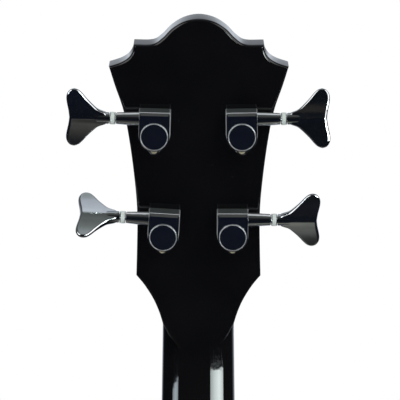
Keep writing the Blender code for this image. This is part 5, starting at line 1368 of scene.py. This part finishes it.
for x, z in STUDS[:2]:
    disc = turned([(0, 0), (0.0040, 0), (0.0040, 0.0008), (0.0038, 0.0010), (0, 0.0010)], 40)
    disc = worked(disc, [brick((-0.0050, -0.0005, 0.0003), (0.0050, 0.0005, 0.002))])
    heads.append(moved(disc, between((x, -0.00462, z), (x, -1, z))))
piece("stud_heads", joined(heads), "steel")

# %% Saddles with their screws and springs
def saddle_mesh(radius):
    """A saddle: a wedge with a ridge, a notch for its string, and bores for its screws"""
    profile = [(-0.0058, 0.0060), (-0.0066, 0.0060), (-0.0121, 0.0013), (-0.0123, 0.0008), (-0.0123, -0.0006),
               (-0.0120, -0.0014), (-0.0088, -0.0070), (-0.0058, -0.0070)]
    wedge = worked(skin([[(x, y, z) for y, z in profile] for x in (-0.006, 0.006)]), bevel=0.0005, rounds=2, angle=50)
    middle = -SADDLE_HEIGHT - radius
    cuts = [rod((0, SCREW_DEPTH, -0.008), (0, SCREW_DEPTH, 0.0080), 0.00095, steps=20),
            rod((0, middle + 0.0008, -0.008), (0, middle, 0.0), radius + 0.0001, steps=24),
            rod((0, middle, -0.0003), (0, middle, 0.007), radius + 0.0001, steps=24)]
    cuts += [rod((x, -0.02, -0.0005), (x, -0.0065, -0.0005), 0.0010, steps=20) for x in (-0.0043, 0.0043)]
    return worked(wedge, cuts)


def spring_mesh(x, start, end, coils=9):
    """A spring round a screw, from the wall to the saddle's back"""
    route = []
    for i in range(coils * 16 + 1):
        angle = 2 * math.pi * i / 16
        route.append(Vector((x + 0.00100 * math.cos(angle), SCREW_DEPTH + 0.00100 * math.sin(angle),
                             start + (end - start) * i / (coils * 16))))
    return skin(tube_rings(route, [0.00014] * len(route), 6))


length_screws = []
for name, (radius, place, _) in STRINGS.items():
    x = place * BRIDGE_SPACING
    put = Matrix.Translation((x, 0, -SCALE_LENGTH))
    piece("saddle_block_" + name, moved(saddle_mesh(radius), put), "chrome", "saddle_" + name, ["saddle_" + name])
    grubs = [rod((a, -0.0108, -0.0005), (a, -0.0068, -0.0005), 0.00085, steps=20) for a in (-0.0043, 0.0043)]
    piece("saddle_grub_screws_" + name, moved(joined(grubs), put), "steel", "saddle_" + name)
    length_screws.append(rod((x, SCREW_DEPTH, -0.8062), (x, SCREW_DEPTH, -0.7665), 0.0008, steps=20))
    head = moved(screw_head(0.0014, 0.0011), between((x, SCREW_DEPTH, -0.8061), (x, SCREW_DEPTH, -1)))
    length_screws.append(head)
    spring = piece("spring_" + name, spring_mesh(x, -0.7976, -0.7773), "steel", None, even=False)
    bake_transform(spring)
piece("length_screws", joined(length_screws), "steel")
print("saddles fitted:", len(STRINGS))

# %% [markdown]
# ## Controls
# Two volume knobs and a tone knob stand square to the arched top. They are moulded with flutes for grip, and a cream
# line shows where each one points. The pickup switch has a knurled nut, a steel lever and a cream tip.

# %% Knobs
def knob_mesh():
    """A fluted knob with a skirt and a domed top, on its shaft"""
    shape = [(0.0012, 0.0122, 0), (0.0014, 0.0125, 0), (0.0026, 0.0125, 0), (0.0030, 0.0123, 0.0), (0.0040, 0.0116, 0.7),
             (0.0060, 0.0112, 1), (0.0100, 0.0106, 1), (0.0125, 0.0102, 0.9), (0.0136, 0.0100, 0.5), (0.0142, 0.0097, 0.1),
             (0.0147, 0.0090, 0), (0.0150, 0.0078, 0), (0.0151, 0.0060, 0)]
    rings = []
    for height, radius, flute in shape:
        ring = []
        for k in range(144):
            angle = 2 * math.pi * k / 144
            r = radius - 0.0005 * flute * abs(math.sin(12 * angle)) ** 0.8
            ring.append((r * math.cos(angle), r * math.sin(angle), height))
        rings.append(ring)
    return worked(skin(rings), [], [rod((0, 0, -0.0125), (0, 0, 0.0020), 0.0030)])


knob = knob_mesh()
for name in ("volume_neck", "volume_bridge", "tone"):
    stand = control_place(name)
    piece("fluted_knob_" + name, moved(knob.copy(), stand), "black_plastic", "knob_" + name, ["knob_" + name])
    line = brick((-0.0004, 0.0020, 0.0148), (0.0004, 0.0076, 0.01516))
    piece("knob_line_" + name, moved(line, stand), "cream_plastic", "knob_" + name)

# %% Pickup switch
stand = control_place("switch")
nut_rings = []
for height, radius, tooth in ((-0.0139, 0.0058, 0), (0.0010, 0.0058, 0), (0.0012, 0.0058, 1), (0.0028, 0.0058, 1),
                              (0.0032, 0.0055, 0.4), (0.0035, 0.0050, 0)):
    ring = []
    for k in range(160):
        r = radius - 0.00018 * tooth * (k % 4 in (1, 2))
        ring.append((r * math.cos(2 * math.pi * k / 160), r * math.sin(2 * math.pi * k / 160), height))
    nut_rings.append(ring)
socket = worked(skin(nut_rings), [rod((0, 0, -0.012), (0, 0, 0.01), 0.0036)])
piece("switch_socket", moved(socket, stand), "chrome", hides=["toggle_switch"])
washer_plate = turned([(0.0059, 0.0004), (0.0085, 0.0004), (0.0087, 0.0006), (0.0085, 0.0010), (0.0059, 0.0010)], 56, True)
piece("switch_washer", moved(washer_plate, stand), "chrome")
pivot = stand @ Matrix.Translation((0, 0, -0.002))
ball = [(0.0030 * math.sin(math.radians(a)), -0.0030 * math.cos(math.radians(a))) for a in range(0, 160, 12)]
stick = turned([*ball, (0.0011, 0.0029), (0.0011, 0.0099), (0, 0.0099)], 32)
piece("switch_lever", moved(stick, pivot), "steel", "toggle", ["toggle_lever"])
tip = smooth_run([(0.0016, 0.0095), (0.0022, 0.0101), (0.0027, 0.0122), (0.0033, 0.0152), (0.0033, 0.0170),
                  (0.0027, 0.0183), (0.0014, 0.01895)], 4)
tip_mesh = turned([(0, 0.0095), *[(p.x, p.y) for p in tip], (0, 0.0190)], 40)
piece("switch_tip", moved(tip_mesh, pivot), "cream_plastic", "toggle")

# %% [markdown]
# ## Output socket, strap buttons and rod cover
# The socket sits on an oval plate on the rim. The strap buttons are turned like small reels, each with its screw.
# The cover over the truss rod's nut is a small bell of black plastic.

# %% Output socket
def oval(y_half, z_half, x):
    """An oval ring on the rim at one distance out"""
    return [(x, 0.0345 + y_half * math.cos(2 * math.pi * k / 64), -0.800 + z_half * math.sin(2 * math.pi * k / 64))
            for k in range(64)]


out = 0.2033
oval_plate = skin([oval(0.012, 0.017, out), oval(0.012, 0.017, out + 0.0008), oval(0.0118, 0.0168, out + 0.0012),
                   oval(0.0113, 0.0163, out + 0.0015)])
barrel = rod((out - 0.022, 0.0345, -0.800), (out + 0.0035, 0.0345, -0.800), 0.0050)
hexagon = rod((out + 0.0010, 0.0345, -0.800), (out + 0.0029, 0.0345, -0.800), 0.0076, steps=6)
hexagon = worked(hexagon, bevel=0.0003)
bore = rod((out - 0.03, 0.0345, -0.800), (out + 0.01, 0.0345, -0.800), 0.0032)
piece("socket_plate", worked(oval_plate, [bore], [barrel, hexagon]), "chrome", hides=["output_jack"])
screws = [moved(screw_head(0.0019, 0.0009), between((out + 0.0014, 0.0345, -0.800 + a), (1, 0.0345, -0.800 + a)))
          for a in (-0.0125, 0.0125)]
piece("socket_screws", joined(screws), "steel")

# %% Strap buttons
REEL = [(0, 0.0110), (0.0032, 0.0110), (0.0036, 0.0117), (0.0044, 0.0120), (0.0065, 0.0120), (0.0078, 0.0116),
        (0.0085, 0.0105), (0.0085, 0.0095), (0.0078, 0.0086), (0.0058, 0.0076), (0.0044, 0.0064), (0.0042, 0.0050),
        (0.0044, 0.0034), (0.0054, 0.0018), (0.0067, 0.0004), (0.0068, 0.0), (0, 0)]
heel_normal = Vector((0, 0.99345, 0.11431))
heel_foot = Vector((0, 0.05821, -0.512)) + heel_normal * 0.0006
for name, foot, normal in (("tail", Vector((0, 0.0345, -0.9203)), Vector((0, 0, -1))), ("heel", heel_foot, heel_normal)):
    stand = between(foot, foot + normal)
    piece("strap_reel_" + name, moved(turned(REEL, 48), stand), "chrome", hides=["strap_button_" + name])
    head = moved(screw_head(0.0029, 0.0009), stand @ Matrix.Translation((0, 0, 0.0110)))
    piece("strap_screw_" + name, head, "steel")

# %% Rod cover
shape = [(0.013 * 0.92, 0.0), (0.013, 0.0102), (0.013 * 0.66, 0.0238), (0.0, 0.034)]
right = smooth_run(shape + [(-shape[2][0], shape[2][1])], 8)[:-8]
cover_outline = [Vector((p.x, p.y + GAP)) for p in right]
cover_outline += [Vector((-p.x, p.y)) for p in reversed(cover_outline[:-1])]
levels = [(0.0, -GAP), (0.0, -0.0015), (0.0002, -0.0019), (0.0006, -0.0021)]
cover = skin([flat_ring(inset(cover_outline, pull) if pull else cover_outline, y) for pull, y in levels])
piece("rod_cover", moved(cover, HEAD), "black_plastic", hides=["truss_rod_cover"])
screws = [moved(screw_head(0.0014, 0.0007), HEAD @ between((x, -0.0020, z), (x, -1, z)))
          for x, z in ((0, 0.0290), (-0.0092, 0.0040), (0.0092, 0.0040))]
piece("rod_cover_screws", joined(screws), "steel")
